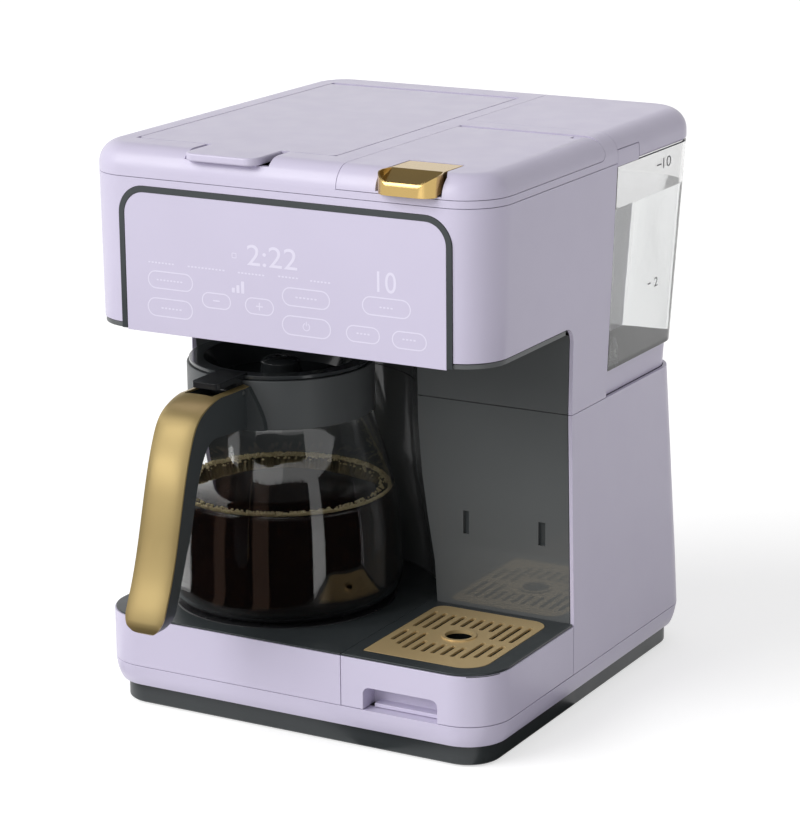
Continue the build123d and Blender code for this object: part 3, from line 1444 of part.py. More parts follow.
with BuildPart() as pod_riser:
    right = heater_outlet + branch
    rear = riser_y + 14
    add(hose(
        [
            (right, flow_back + seat, heater_z),
            (right, rear, heater_z),
            (pod_riser_x, rear, heater_z),
            (pod_riser_x, rear, pod_cross_z),
            (pod_riser_x, pod_riser_y, pod_cross_z),
            (pod_x, pod_riser_y, pod_cross_z),
            (pod_x, pod_riser_y, riser_top),
        ],
        riser_bend,
    ))
save(pod_riser, "pod_riser")

# Gland in the rear wall for a mains cord
gland_flange = 11.0
gland_bore = 3.5
gland_wall = rear_at(gland_z)
with BuildPart() as cord_gland:
    rod_y(gland_x, gland_wall - 10.8, gland_wall + 2.2, gland_z, gland_radius)
    rod_y(gland_x, gland_wall + 1.8, gland_wall + 4.6, gland_z, gland_flange)
    rod_y(gland_x, gland_wall - 10.8, gland_wall - 4.8, gland_z, gland_radius + 2.0)
    rod_y(gland_x, rear_waist - 20, far, gland_z, gland_bore, mode=Mode.SUBTRACT)
save(cord_gland, "cord_gland")
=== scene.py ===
import bpy
import bmesh
import json
import math
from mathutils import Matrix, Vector
from mathutils.bvhtree import BVHTree


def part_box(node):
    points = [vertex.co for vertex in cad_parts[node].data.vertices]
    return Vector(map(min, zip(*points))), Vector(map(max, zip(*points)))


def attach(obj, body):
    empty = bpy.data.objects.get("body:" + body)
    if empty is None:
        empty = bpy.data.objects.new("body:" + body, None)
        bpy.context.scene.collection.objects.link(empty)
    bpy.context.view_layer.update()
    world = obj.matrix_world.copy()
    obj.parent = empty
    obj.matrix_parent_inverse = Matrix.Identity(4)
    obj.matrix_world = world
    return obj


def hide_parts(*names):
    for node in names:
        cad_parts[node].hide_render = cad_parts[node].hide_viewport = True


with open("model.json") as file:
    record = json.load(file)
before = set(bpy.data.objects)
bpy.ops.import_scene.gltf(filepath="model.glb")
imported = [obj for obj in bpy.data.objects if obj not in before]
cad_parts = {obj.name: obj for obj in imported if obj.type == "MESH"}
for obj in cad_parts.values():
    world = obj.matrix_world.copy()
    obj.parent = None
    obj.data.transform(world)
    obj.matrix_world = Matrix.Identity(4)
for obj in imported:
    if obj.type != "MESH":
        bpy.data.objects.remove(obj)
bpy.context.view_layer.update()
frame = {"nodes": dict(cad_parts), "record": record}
nodes = frame["nodes"]
bodies = frame["record"]["behaviour"]["bodies"]
bodyOf = {node: body for body, members in bodies.items() for node in members}

mm = 0.001
# the sizes below are measured from the middle of the foot, and the row's origin lies further forward
rowShift = 37.55
# two points closer than this, in metres, are one
sameSpot = 2e-6


def place(x, y, z):
    # a point given in millimetres from the middle of the foot, in the row's metres
    return Vector((x * mm, (y + rowShift) * mm, z * mm))


# camera
cameraSet = {
    "lens": 129.74, "clip": 0.05, "place": (931.08, -1649.0, 694.55), "turn": (74.729, 0.503, 29.334),
}
camData = bpy.data.cameras.new("camera")
camData.lens = cameraSet["lens"]
camData.clip_start = cameraSet["clip"]
cam = bpy.data.objects.new("camera", camData)
cam.location = place(*cameraSet["place"])
cam.rotation_euler = [math.radians(a) for a in cameraSet["turn"]]
bpy.context.collection.objects.link(cam)
bpy.context.scene.camera = cam
bpy.context.scene.view_settings.view_transform = "Standard"
print("camera ready")


# node tree helpers
def newMaterial(name):
    mat = bpy.data.materials.new(name)
    mat.use_nodes = True
    tree = mat.node_tree
    tree.nodes.clear()
    out = tree.nodes.new("ShaderNodeOutputMaterial")
    shader = tree.nodes.new("ShaderNodeBsdfPrincipled")
    tree.links.new(shader.outputs[0], out.inputs["Surface"])
    return mat, tree, shader, out


def scaled(color, factor):
    return tuple(c * factor for c in color)


def setAll(shader, values):
    for key, value in values.items():
        shader.inputs[key].default_value = value


def noiseAt(tree, scale, detail=2.0, rough=0.5, stretch=(1, 1, 1)):
    coords = tree.nodes.new("ShaderNodeTexCoord")
    mapping = tree.nodes.new("ShaderNodeMapping")
    mapping.inputs["Scale"].default_value = stretch
    noise = tree.nodes.new("ShaderNodeTexNoise")
    noise.inputs["Scale"].default_value = scale
    noise.inputs["Detail"].default_value = detail
    noise.inputs["Roughness"].default_value = rough
    tree.links.new(coords.outputs["Object"], mapping.inputs["Vector"])
    tree.links.new(mapping.outputs[0], noise.inputs["Vector"])
    return noise


def ramp(tree, source, low, high, at=(0.35, 0.65)):
    node = tree.nodes.new("ShaderNodeMapRange")
    node.inputs["From Min"].default_value = at[0]
    node.inputs["From Max"].default_value = at[1]
    node.inputs["To Min"].default_value = low
    node.inputs["To Max"].default_value = high
    tree.links.new(source, node.inputs["Value"])
    return node.outputs["Result"]


def blendColors(tree, factor, first, second):
    node = tree.nodes.new("ShaderNodeMix")
    node.data_type = "RGBA"
    node.inputs["A"].default_value = (*first, 1)
    node.inputs["B"].default_value = (*second, 1)
    tree.links.new(factor, node.inputs["Factor"])
    return node.outputs["Result"]


def addBump(tree, shader, height, strength, distance):
    bump = tree.nodes.new("ShaderNodeBump")
    bump.inputs["Strength"].default_value = strength
    bump.inputs["Distance"].default_value = distance
    tree.links.new(height, bump.inputs["Height"])
    tree.links.new(bump.outputs[0], shader.inputs["Normal"])


def vary(tree, source, middle, below, above, socket):
    # lets a value wander round its middle with a noise
    tree.links.new(ramp(tree, source, middle - below, middle + above), socket)


# moulded plastic: fine grain, faint colour drift, roughness that wanders a little
plasticSet = {
    "ior": 1.46, "coatRough": 0.12, "driftScale": 9, "roughScale": 60, "spread": 0.03, "grainDepth": 0.00006,
}
metalSet = {
    "fineScale": 900, "driftScale": 14, "darker": 0.94, "below": 0.03, "above": 0.04, "grainDepth": 0.00003,
}
clearSet = {"roughScale": 40, "spread": 0.02, "waveScale": 70, "waveDepth": 0.0002}


def mouldedPlastic(name, color, drift, rough, grain=0.06, grainScale=2600, coat=0.0):
    mat, tree, shader, out = newMaterial(name)
    setAll(shader, {"IOR": plasticSet["ior"], "Coat Weight": coat, "Coat Roughness": plasticSet["coatRough"]})
    tint = ramp(tree, noiseAt(tree, plasticSet["driftScale"], 3).outputs["Fac"], 0.0, 1.0)
    tree.links.new(blendColors(tree, tint, scaled(color, 1 - drift), color), shader.inputs["Base Color"])
    patches = noiseAt(tree, plasticSet["roughScale"], 4).outputs["Fac"]
    vary(tree, patches, rough, plasticSet["spread"], plasticSet["spread"], shader.inputs["Roughness"])
    addBump(tree, shader, noiseAt(tree, grainScale, 2).outputs["Fac"], grain, plasticSet["grainDepth"])
    return mat


def satinMetal(name, color, rough, brushed=0.25, stretch=(1, 1, 40), metallic=1.0):
    mat, tree, shader, out = newMaterial(name)
    setAll(shader, {"Metallic": metallic})
    fine = noiseAt(tree, metalSet["fineScale"], 3, 0.6, stretch).outputs["Fac"]
    tint = ramp(tree, noiseAt(tree, metalSet["driftScale"], 3).outputs["Fac"], 0.0, 1.0)
    darker = scaled(color, metalSet["darker"])
    tree.links.new(blendColors(tree, tint, darker, color), shader.inputs["Base Color"])
    vary(tree, fine, rough, metalSet["below"], metalSet["above"], shader.inputs["Roughness"])
    addBump(tree, shader, fine, brushed, metalSet["grainDepth"])
    return mat


def clearSurface(tree, shader, wave=0.0):
    # nearly smooth, with slow waves where a wave is given
    patches = noiseAt(tree, clearSet["roughScale"], 3).outputs["Fac"]
    vary(tree, patches, 0.0, 0.0, clearSet["spread"], shader.inputs["Roughness"])
    if wave:
        waves = noiseAt(tree, clearSet["waveScale"], 2).outputs["Fac"]
        addBump(tree, shader, waves, wave, clearSet["waveDepth"])


def clearBody(name, tint, ior):
    mat, tree, shader, out = newMaterial(name)
    setAll(shader, {"Base Color": (*tint, 1), "Transmission Weight": 1.0, "IOR": ior})
    clearSurface(tree, shader)
    return mat


finish = {
    "lavender": (0.585, 0.545, 0.690),
    "charcoal": (0.040, 0.047, 0.050),
    "bayGrey": (0.108, 0.114, 0.116),
    "ceiling": (0.115, 0.122, 0.124),
    "foot": (0.030, 0.035, 0.037),
    "collar": (0.075, 0.081, 0.084),
    "carafeLid": (0.036, 0.040, 0.043),
    "inner": (0.16, 0.165, 0.17),
    "tongue": (0.016, 0.017, 0.019),
    "rubber": (0.022, 0.022, 0.023),
    "silicone": (0.62, 0.62, 0.58),
    "aluminium": (0.42, 0.42, 0.42),
    "plate": (0.020, 0.020, 0.022),
    "board": (0.02, 0.09, 0.04),
    "gold": (0.46, 0.345, 0.150),
    "latchGold": (0.56, 0.39, 0.15),
    "grateGold": (0.74, 0.55, 0.28),
    "steel": (0.58, 0.58, 0.57),
    "coffee": (0.014, 0.0050, 0.0028),
    "foam": (0.72, 0.60, 0.34),
    "print": (0.71, 0.675, 0.81),
    "tankPrint": (0.10, 0.10, 0.11),
}
lavender = mouldedPlastic("lavenderPlastic", finish["lavender"], drift=0.03, rough=0.34)
charcoal = mouldedPlastic("charcoalPlastic", finish["charcoal"], drift=0.10, rough=0.36, grain=0.10)
collarPlastic = mouldedPlastic("collarPlastic", finish["collar"], drift=0.06, rough=0.42, grain=0.08)
ceilingPlastic = mouldedPlastic("ceilingPlastic", finish["ceiling"], drift=0.06, rough=0.42, grain=0.08)
footPlastic = mouldedPlastic("footPlastic", finish["foot"], drift=0.10, rough=0.36, grain=0.10)
bayGloss = mouldedPlastic("bayPlastic", finish["bayGrey"], drift=0.06, rough=0.06, grain=0.006, coat=0.3)
lidGloss = mouldedPlastic(
    "carafeLidPlastic", finish["carafeLid"], drift=0.08, rough=0.15, grain=0.02, coat=0.3)
innerPlastic = mouldedPlastic("innerPlastic", finish["inner"], drift=0.08, rough=0.42, grain=0.10)
blackGloss = mouldedPlastic("blackTongue", finish["tongue"], drift=0.06, rough=0.16, grain=0.02)
rubber = mouldedPlastic("footRubber", finish["rubber"], drift=0.15, rough=0.75, grain=0.25, grainScale=1400)
silicone = mouldedPlastic(
    "siliconeHose", finish["silicone"], drift=0.05, rough=0.48, grain=0.08, grainScale=800)
gold = satinMetal("satinGold", finish["gold"], rough=0.34, brushed=0.15, metallic=0.72)
latchGold = satinMetal("polishedGold", finish["latchGold"], rough=0.20, brushed=0.08, stretch=(40, 1, 1))
grateGold = satinMetal(
    "pressedGold", finish["grateGold"], rough=0.36, brushed=0.12, stretch=(1, 1, 1), metallic=0.45)
steel = satinMetal("plainSteel", finish["steel"], rough=0.30)
aluminium = satinMetal("castAluminium", finish["aluminium"], rough=0.45, brushed=0.5, stretch=(1, 1, 1))
plateBlack = mouldedPlastic(
    "warmingPlateCoat", finish["plate"], drift=0.1, rough=0.30, grain=0.15, grainScale=1800)
boardGreen = mouldedPlastic("boardGreen", finish["board"], drift=0.2, rough=0.35)
panelPrint = mouldedPlastic("panelPrint", finish["print"], drift=0.02, rough=0.42, grain=0.02)
tankPrint = mouldedPlastic("tankPrint", finish["tankPrint"], drift=0.05, rough=0.45, grain=0.02)
foam = mouldedPlastic("coffeeFoam", finish["foam"], drift=0.25, rough=0.22, grain=0.05, grainScale=700)
coffee = mouldedPlastic("brewedCoffee", finish["coffee"], drift=0.20, rough=0.04, grain=0.0)
glass = clearBody("carafeGlass", (0.985, 0.99, 0.985), ior=1.47)
water = clearBody("tankWater", (0.99, 0.995, 0.995), ior=1.33)


# clear tank plastic, with painted shade: a little greyer on the dry wall above the water
waterSet = {
    "level": 322.5, "bottom": 2.5, "overlap": 0.2, "fade": 0.0004, "wallIor": 1.49, "wave": 0.10,
    "dryShadeTint": (0.80, 0.80, 0.80), "wetTint": (0.985, 0.99, 0.99), "smooth": 30,
}


def tankPlastic():
    mat, tree, shader, out = newMaterial("tankPlastic")
    setAll(shader, {"Transmission Weight": 1.0, "IOR": waterSet["wallIor"]})
    coords = tree.nodes.new("ShaderNodeTexCoord")
    split = tree.nodes.new("ShaderNodeSeparateXYZ")
    tree.links.new(coords.outputs["Object"], split.inputs[0])
    level = waterSet["level"] * mm
    # painted shade: above the water level the plastic's tint turns greyer
    dry = ramp(tree, split.outputs["Z"], 0.0, 1.0, (level - waterSet["fade"], level + waterSet["fade"]))
    color = blendColors(tree, dry, waterSet["wetTint"], waterSet["dryShadeTint"])
    tree.links.new(color, shader.inputs["Base Color"])
    clearSurface(tree, shader, waterSet["wave"])
    return mat


tankClear = tankPlastic()
print("materials ready")

# which finish each CAD node wears, and how wide its edges are rounded in millimetres
dress = {
    "rubber_pads": (rubber, 0.3), "foot_tray": (footPlastic, 0.8), "skirt": (lavender, 0.25),
    "lower_housing": (lavender, 0.35), "upper_housing": (lavender, 0.35), "tank_pedestal": (lavender, 0.4),
    "top_frame": (lavender, 0.5), "brew_lid": (lavender, 0.7), "pod_lid": (lavender, 0.6),
    "tank_lid": (lavender, 0.7), "tank_catch": (lavender, 0.4), "drip_drawer": (lavender, 0.4),
    "touch_panel": (lavender, 0.3), "panel_outline": (charcoal, 0.15),
    "head_underside": (ceilingPlastic, 0.4), "deck_plate": (charcoal, 0.35), "drip_surround": (charcoal, 0.5),
    "lower_liner": (bayGloss, 0.0), "upper_liner": (bayGloss, 0.3),
    "drip_grate": (grateGold, 0.45), "thumb_latch": (latchGold, 0.35), "handle_cover": (gold, 0.9),
    "carafe_handle": (charcoal, 0.9), "carafe_collar": (collarPlastic, 0.6), "carafe_lid": (lidGloss, 0.6),
    "lid_tongue": (blackGloss, 0.6), "warming_plate": (plateBlack, 0.3), "brew_basket": (charcoal, 0.3),
    "carafe_glass": (glass, 0.0), "water_tank": (tankClear, 0.3),
    "base_floor": (innerPlastic, 0.0), "top_deck": (innerPlastic, 0.0), "brew_well": (charcoal, 0.0),
    "pod_well": (charcoal, 0.0), "pod_holder": (charcoal, 0.3), "filter_cup": (innerPlastic, 0.2),
    "shower_head": (innerPlastic, 0.3), "drip_stop": (rubber, 0.3), "pod_seal": (silicone, 0.2),
    "tank_valve": (innerPlastic, 0.2), "valve_cage": (charcoal, 0.2), "cord_gland": (charcoal, 0.4),
    "control_board": (boardGreen, 0.0), "water_heater": (aluminium, 0.3), "water_pump": (innerPlastic, 0.4),
    "flow_valve": (innerPlastic, 0.4), "tank_hose": (silicone, 0.0), "pump_hose": (silicone, 0.0),
    "brew_riser": (silicone, 0.0), "pod_riser": (silicone, 0.0),
    "base_screws": (steel, 0.2), "lid_pins": (steel, 0.1), "latch_pin": (steel, 0.1),
    "latch_spring": (steel, 0.0),
    "upper_needle": (steel, 0.0), "lower_needle": (steel, 0.0), "drip_spring": (steel, 0.0),
    "valve_spring": (steel, 0.0), "tank_lid_pin": (steel, 0.1), "carafe_lid_pin": (steel, 0.1),
}


def link(obj):
    bpy.context.collection.objects.link(obj)
    return obj


def meshObject(name, mesh, material):
    obj = link(bpy.data.objects.new(name, mesh))
    mesh.materials.clear()
    mesh.materials.append(material)
    return obj


def applyModifiers(obj):
    mesh = bpy.data.meshes.new_from_object(obj.evaluated_get(bpy.context.evaluated_depsgraph_get()))
    obj.modifiers.clear()
    obj.data = mesh


def nodeMesh(node):
    mesh = nodes[node].data.copy()
    mesh.transform(nodes[node].matrix_world)
    return mesh


def surfaceOf(node):
    bm = bmesh.new()
    bm.from_mesh(nodeMesh(node))
    tree = BVHTree.FromBMesh(bm)
    bm.free()
    return tree


# the top frame is built in two solids with a hairline gap between them, closed here
hairline = {"low": 63.94, "high": 64.08, "join": 64.01, "weld": 1e-5, "inPlane": 1e-6}


def closeHairline(bm):
    for v in bm.verts:
        if hairline["low"] * mm < v.co.y < hairline["high"] * mm:
            v.co.y = hairline["join"] * mm
    bmesh.ops.remove_doubles(bm, verts=bm.verts, dist=hairline["weld"])
    plane = hairline["join"] * mm
    flat = [f for f in bm.faces if all(abs(v.co.y - plane) < hairline["inPlane"] for v in f.verts)]
    bmesh.ops.delete(bm, geom=flat, context="FACES")
    print("faces closed in the top frame:", len(flat))


# the handle's cover is a little crowned across its width
crown = {
    "middle": -54.0, "half": 14.2, "cuts": (0, 3, 6, 8.5, 10.5, 12, 13.2), "drop": 1.5, "power": 3.0,
    "off": 1.2, "onPlane": 1e-6,
}


def crownCover(mesh):
    bm = bmesh.new()
    bm.from_mesh(mesh)
    for side in (-1, 1):
        for cut in crown["cuts"]:
            at = place(crown["middle"] + side * cut, 0, 0)
            everything = bm.verts[:] + bm.edges[:] + bm.faces[:]
            reach = crown["onPlane"]
            bmesh.ops.bisect_plane(bm, geom=everything, plane_co=at, plane_no=(1, 0, 0), dist=reach)
    bmesh.ops.triangulate(bm, faces=bm.faces)
    bm.normal_update()
    grip = surfaceOf("carafe_handle")
    shifts = {}
    for v in bm.verts:
        near = grip.find_nearest(v.co)
        if near[3] > crown["off"] * mm:
            toward = near[0] - v.co
            toward.x = 0
            across = abs(v.co.x / mm - crown["middle"]) / crown["half"]
            shifts[v] = toward.normalized() * crown["drop"] * mm * across ** crown["power"]
    for v, shift in shifts.items():
        v.co += shift
    print("cover verts crowned:", len(shifts))
    bm.to_mesh(mesh)
    bm.free()


edgeSet = {"flat": 0.4, "sharp": 32, "segments": 2}


def softenUnder(bm, degrees):
    # smooth across edges that turn less than this
    for e in bm.edges:
        e.smooth = e.is_manifold and e.calc_face_angle(0) < math.radians(degrees)


def dressNode(node, material, edge):
    # a copy of the node with joined faces, smooth shading and fine rounded edges
    mesh = nodeMesh(node)
    bm = bmesh.new()
    bm.from_mesh(mesh)
    bmesh.ops.remove_doubles(bm, verts=bm.verts, dist=sameSpot)
    if node == "top_frame":
        closeHairline(bm)
    bmesh.ops.dissolve_limit(bm, angle_limit=math.radians(edgeSet["flat"]), verts=bm.verts, edges=bm.edges)
    for face in bm.faces:
        face.smooth = True
    softenUnder(bm, edgeSet["sharp"])
    bm.to_mesh(mesh)
    bm.free()
    if mesh.attributes.get("custom_normal"):
        mesh.attributes.remove(mesh.attributes["custom_normal"])
    if node == "handle_cover":
        crownCover(mesh)
    obj = meshObject(node + "_finish", mesh, material)
    if edge:
        bevel = obj.modifiers.new("edge", "BEVEL")
        bevel.width = edge * mm
        bevel.segments = edgeSet["segments"]
        bevel.limit_method = "ANGLE"
        bevel.angle_limit = math.radians(edgeSet["sharp"])
        bevel.harden_normals = True
        bevel.miter_outer = "MITER_ARC"
        applyModifiers(obj)
    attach(obj, bodyOf[node])
    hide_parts(node)


for node, (material, edge) in dress.items():
    dressNode(node, material, edge)
print("nodes dressed:", len(dress))

# painted shade: the inside of the drip drawer, seen dark through the grate's slots, gets the charcoal finish,
# its outside does not
drawerShadeRoom = {
    "x": (41.5, 142.0), "y": (-147.3, -35.0), "z": 30.5, "recess": (55.0, 109.0), "recessBack": -134.9,
}


def shadeDrawerInside():
    mesh = bpy.data.objects["drip_drawer_finish"].data
    mesh.materials.append(charcoal)
    low = place(drawerShadeRoom["x"][0], drawerShadeRoom["y"][0], drawerShadeRoom["z"])
    high = place(drawerShadeRoom["x"][1], drawerShadeRoom["y"][1], 0)
    recessLow = place(drawerShadeRoom["recess"][0], 0, 0)
    recessHigh = place(drawerShadeRoom["recess"][1], drawerShadeRoom["recessBack"], 0)
    for poly in mesh.polygons:
        points = [mesh.vertices[i].co for i in poly.vertices]
        inRoom = all(low.x < p.x < high.x and low.y < p.y < high.y and p.z > low.z for p in points)
        inRecess = all(recessLow.x < p.x < recessHigh.x and p.y < recessHigh.y for p in points)
        # faces inside the drawer, away from the finger recess, take the charcoal as painted shade
        if inRoom and not inRecess:
            poly.material_index = 1


shadeDrawerInside()


def addPiece(name, bm, material, body, smooth=True):
    # a finished mesh that rides on a body
    for face in bm.faces:
        face.smooth = smooth
    mesh = bpy.data.meshes.new(name)
    bm.to_mesh(mesh)
    bm.free()
    obj = meshObject(name, mesh, material)
    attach(obj, body)


# painted shade: a dark sheet behind the slots of the bay wall, put where the slots show only shade
slotShadeSheet = {"low": (62.0, -30.9, 106.0), "high": (137.0, -29.9, 135.0)}


def slotShadeBacking():
    bm = bmesh.new()
    bmesh.ops.create_cube(bm, size=1.0)
    low, high = place(*slotShadeSheet["low"]), place(*slotShadeSheet["high"])
    for v in bm.verts:
        v.co = Vector([low[k] if v.co[k] < 0 else high[k] for k in range(3)])
    addPiece("slot_shade_backing", bm, charcoal, "machine", False)


slotShadeBacking()

# coffee in the carafe, its wall taken from the inside of the glass
coffeeSet = {
    "x": -54.0, "y": -62.0, "level": 136.5, "gap": 0.06, "turns": 96, "look": 120,
    "floorRadii": (0, 15, 30, 45, 55, 60), "rows": 28,
}
glassWall = surfaceOf("carafe_glass")
axisFoot = place(coffeeSet["x"], coffeeSet["y"], 0)


def glassRadius(z):
    start = Vector((axisFoot.x, axisFoot.y, z * mm))
    return (glassWall.ray_cast(start, Vector((1, 0, 0)))[0] - start).length / mm - coffeeSet["gap"]


def glassFloor(radius):
    start = Vector((axisFoot.x + radius * mm, axisFoot.y, coffeeSet["look"] * mm))
    return glassWall.ray_cast(start, Vector((0, 0, -1)))[0].z / mm + coffeeSet["gap"]


def ringAt(bm, radius, z):
    # a ring of vertices round the carafe's axis
    turns = coffeeSet["turns"]
    return [
        bm.verts.new((
            axisFoot.x + radius * mm * math.cos(2 * math.pi * k / turns),
            axisFoot.y + radius * mm * math.sin(2 * math.pi * k / turns), z * mm))
        for k in range(turns)
    ]


def lathe(profile):
    # profile runs from the lower pole to the upper pole, as (radius, z) in millimetres
    bm = bmesh.new()
    turns = coffeeSet["turns"]
    rings = [
        ringAt(bm, radius, z) if radius else [bm.verts.new((axisFoot.x, axisFoot.y, z * mm))]
        for radius, z in profile
    ]
    for low, high in zip(rings, rings[1:]):
        for k in range(turns):
            n = (k + 1) % turns
            if len(low) == 1:
                bm.faces.new((low[0], high[n], high[k]))
            elif len(high) == 1:
                bm.faces.new((low[k], low[n], high[0]))
            else:
                bm.faces.new((low[k], low[n], high[n], high[k]))
    bmesh.ops.recalc_face_normals(bm, faces=bm.faces)
    return bm


level = coffeeSet["level"]
rows = coffeeSet["rows"]
coffeeProfile = [(r, glassFloor(r)) for r in coffeeSet["floorRadii"]]
floorEdge = coffeeProfile[-1][1]
sideLevels = [floorEdge + (level - floorEdge) * k / rows for k in range(2, rows + 1)]
coffeeProfile += [(glassRadius(z), z) for z in sideLevels]
topRadius = glassRadius(level)
coffeeProfile += [(topRadius * 0.5, level), (0, level)]
addPiece("brewed_coffee", lathe(coffeeProfile), coffee, "carafe")
print("coffee poured")


# geometry node helper: named inputs, and each value set by its socket's identifier
def nodeGroup(name, inputs):
    group = bpy.data.node_groups.new(name, "GeometryNodeTree")
    group.interface.new_socket("Geometry", in_out="INPUT", socket_type="NodeSocketGeometry")
    group.interface.new_socket("Geometry", in_out="OUTPUT", socket_type="NodeSocketGeometry")
    for title, kind, value in inputs:
        group.interface.new_socket(title, in_out="INPUT", socket_type=kind).default_value = value
    return group, group.nodes.new("NodeGroupInput"), group.nodes.new("NodeGroupOutput")


def runGroup(obj, group, values):
    modifier = obj.modifiers.new(group.name, "NODES")
    modifier.node_group = group
    for item in group.interface.items_tree:
        if item.in_out == "INPUT" and item.name in values:
            modifier[item.identifier] = values[item.name]
    applyModifiers(obj)


# foam: bubbles of mixed size in a ring along the glass
foamSet = {
    "count": 2200, "smallest": 0.50, "largest": 1.10, "width": 1.3, "height": 2.2, "seed": 7,
    "clear": 0.1, "backCount": 260, "backWidth": 9.0, "backGap": 2.5, "backSeed": 11,
}


def foamGroup():
    group, given, result = nodeGroup("foamBubbles", [
        ("Count", "NodeSocketInt", 100), ("Smallest", "NodeSocketFloat", 0.0003),
        ("Largest", "NodeSocketFloat", 0.0008), ("Seed", "NodeSocketInt", 1),
    ])
    new, join = group.nodes.new, group.links.new
    scatter = new("GeometryNodeDistributePointsOnFaces")
    area = new("GeometryNodeAttributeStatistic")
    faceArea = new("GeometryNodeInputMeshFaceArea")
    density = new("ShaderNodeMath")
    density.operation = "DIVIDE"
    ball = new("GeometryNodeMeshIcoSphere")
    ball.inputs["Radius"].default_value = 1.0
    ball.inputs["Subdivisions"].default_value = 2
    size = new("FunctionNodeRandomValue")
    size.data_type = "FLOAT"
    scatterOn = new("GeometryNodeInstanceOnPoints")
    realize = new("GeometryNodeRealizeInstances")
    smooth = new("GeometryNodeSetShadeSmooth")
    paint = new("GeometryNodeSetMaterial")
    paint.inputs["Material"].default_value = foam
    area.domain = "FACE"
    join(given.outputs["Geometry"], area.inputs["Geometry"])
    join(faceArea.outputs[0], area.inputs[2])
    join(given.outputs["Count"], density.inputs[0])
    join(area.outputs["Sum"], density.inputs[1])
    join(given.outputs["Geometry"], scatter.inputs["Mesh"])
    join(density.outputs[0], scatter.inputs["Density"])
    join(given.outputs["Seed"], scatter.inputs["Seed"])
    join(given.outputs["Seed"], size.inputs["Seed"])
    join(given.outputs["Smallest"], size.inputs[2])
    join(given.outputs["Largest"], size.inputs[3])
    join(scatter.outputs["Points"], scatterOn.inputs["Points"])
    join(ball.outputs["Mesh"], scatterOn.inputs["Instance"])
    join(size.outputs[1], scatterOn.inputs["Scale"])
    join(scatterOn.outputs[0], realize.inputs[0])
    join(realize.outputs[0], smooth.inputs[0])
    join(smooth.outputs[0], paint.inputs[0])
    join(paint.outputs[0], result.inputs[0])
    return group


def foamBand(name, inner, outer, count, seed):
    bm = bmesh.new()
    lower = ringAt(bm, inner, level)
    upper = ringAt(bm, outer, level + foamSet["height"])
    for k in range(coffeeSet["turns"]):
        n = (k + 1) % coffeeSet["turns"]
        bm.faces.new((lower[k], upper[k], upper[n], lower[n]))
    mesh = bpy.data.meshes.new(name)
    bm.to_mesh(mesh)
    bm.free()
    obj = meshObject(name, mesh, foam)
    runGroup(obj, bubbleGroup, {
        "Count": count, "Seed": seed,
        "Smallest": foamSet["smallest"] * mm, "Largest": foamSet["largest"] * mm,
    })
    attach(obj, "carafe")


bubbleGroup = foamGroup()
rim = topRadius - foamSet["largest"] - foamSet["clear"]
foamBand("foam_ring", rim - foamSet["width"], rim, foamSet["count"], foamSet["seed"])
inner, outer = rim - foamSet["backWidth"], rim - foamSet["backGap"]
foamBand("foam_islands", inner, outer, foamSet["backCount"], foamSet["backSeed"])
print("foam made")


def shellsOf(bm):
    # the sets of vertices that hang together
    left = set(bm.verts)
    shells = []
    while left:
        shell = {left.pop()}
        queue = list(shell)
        while queue:
            for e in queue.pop().link_edges:
                for v in e.verts:
                    if v in left:
                        left.discard(v)
                        shell.add(v)
                        queue.append(v)
        shells.append(shell)
    return shells


# water in the tank: the inner wall between two levels, closed at both ends
def fillTank():
    bm = bmesh.new()
    bm.from_mesh(nodeMesh("water_tank"))
    bmesh.ops.remove_doubles(bm, verts=bm.verts, dist=sameSpot)
    tankLow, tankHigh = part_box("water_tank")
    lowCut = tankLow[2] + waterSet["bottom"] * mm
    highCut = waterSet["level"] * mm
    for at, normal in ((lowCut, (0, 0, -1)), (highCut, (0, 0, 1))):
        everything = bm.verts[:] + bm.edges[:] + bm.faces[:]
        bmesh.ops.bisect_plane(bm, geom=everything, plane_co=(0, 0, at), plane_no=normal, clear_outer=True)
    # of the shells that reach from cut to cut, the second widest is the wall of the water room
    near = 1e-5
    shells = shellsOf(bm)
    heights = [[v.co.z for v in shell] for shell in shells]
    tall = [s for s, z in zip(shells, heights) if max(z) > highCut - near and min(z) < lowCut + near]
    wide = sorted(tall, key=lambda s: max(v.co.x for v in s) - min(v.co.x for v in s))
    keep = wide[-2] if len(wide) > 1 else wide[-1]
    bmesh.ops.delete(bm, geom=[v for v in bm.verts if v not in keep], context="VERTS")
    bmesh.ops.holes_fill(bm, edges=[e for e in bm.edges if e.is_boundary], sides=0)
    bmesh.ops.recalc_face_normals(bm, faces=bm.faces)
    bm.normal_update()
    for v in bm.verts:
        v.co += Vector((v.normal.x, v.normal.y, 0)) * waterSet["overlap"] * mm
    softenUnder(bm, waterSet["smooth"])
    print("water shells:", len(shells), "tall:", len(tall), "verts:", len(bm.verts))
    addPiece("tank_water", bm, water, "tank")


fillTank()


# marks: flat shapes laid on a surface, in millimetres across and up
cornerSteps = 5


def barShape(cx, cz, width, height, corner=None):
    corner = min(width, height) / 2 if corner is None else corner
    points = []
    for sx, sz, start in ((1, 1, 0), (-1, 1, 90), (-1, -1, 180), (1, -1, 270)):
        for k in range(cornerSteps + 1):
            a = math.radians(start + 90 / cornerSteps * k)
            points.append((
                cx + sx * (width / 2 - corner) + corner * math.cos(a),
                cz + sz * (height / 2 - corner) + corner * math.sin(a)))
    return points


def fillShape(bm, points, lay):
    verts = [bm.verts.new(lay(x, z)) for x, z in points]
    bm.faces.new(verts)


def outlineShape(bm, cx, cz, width, height, line, lay, corner=None):
    corner = min(width, height) / 2 if corner is None else corner
    outer = [bm.verts.new(lay(x, z)) for x, z in barShape(cx, cz, width, height, corner)]
    inner = [
        bm.verts.new(lay(x, z))
        for x, z in barShape(cx, cz, width - 2 * line, height - 2 * line, max(corner - line, 0.1))
    ]
    for k in range(len(outer)):
        n = (k + 1) % len(outer)
        bm.faces.new((outer[k], outer[n], inner[n], inner[k]))


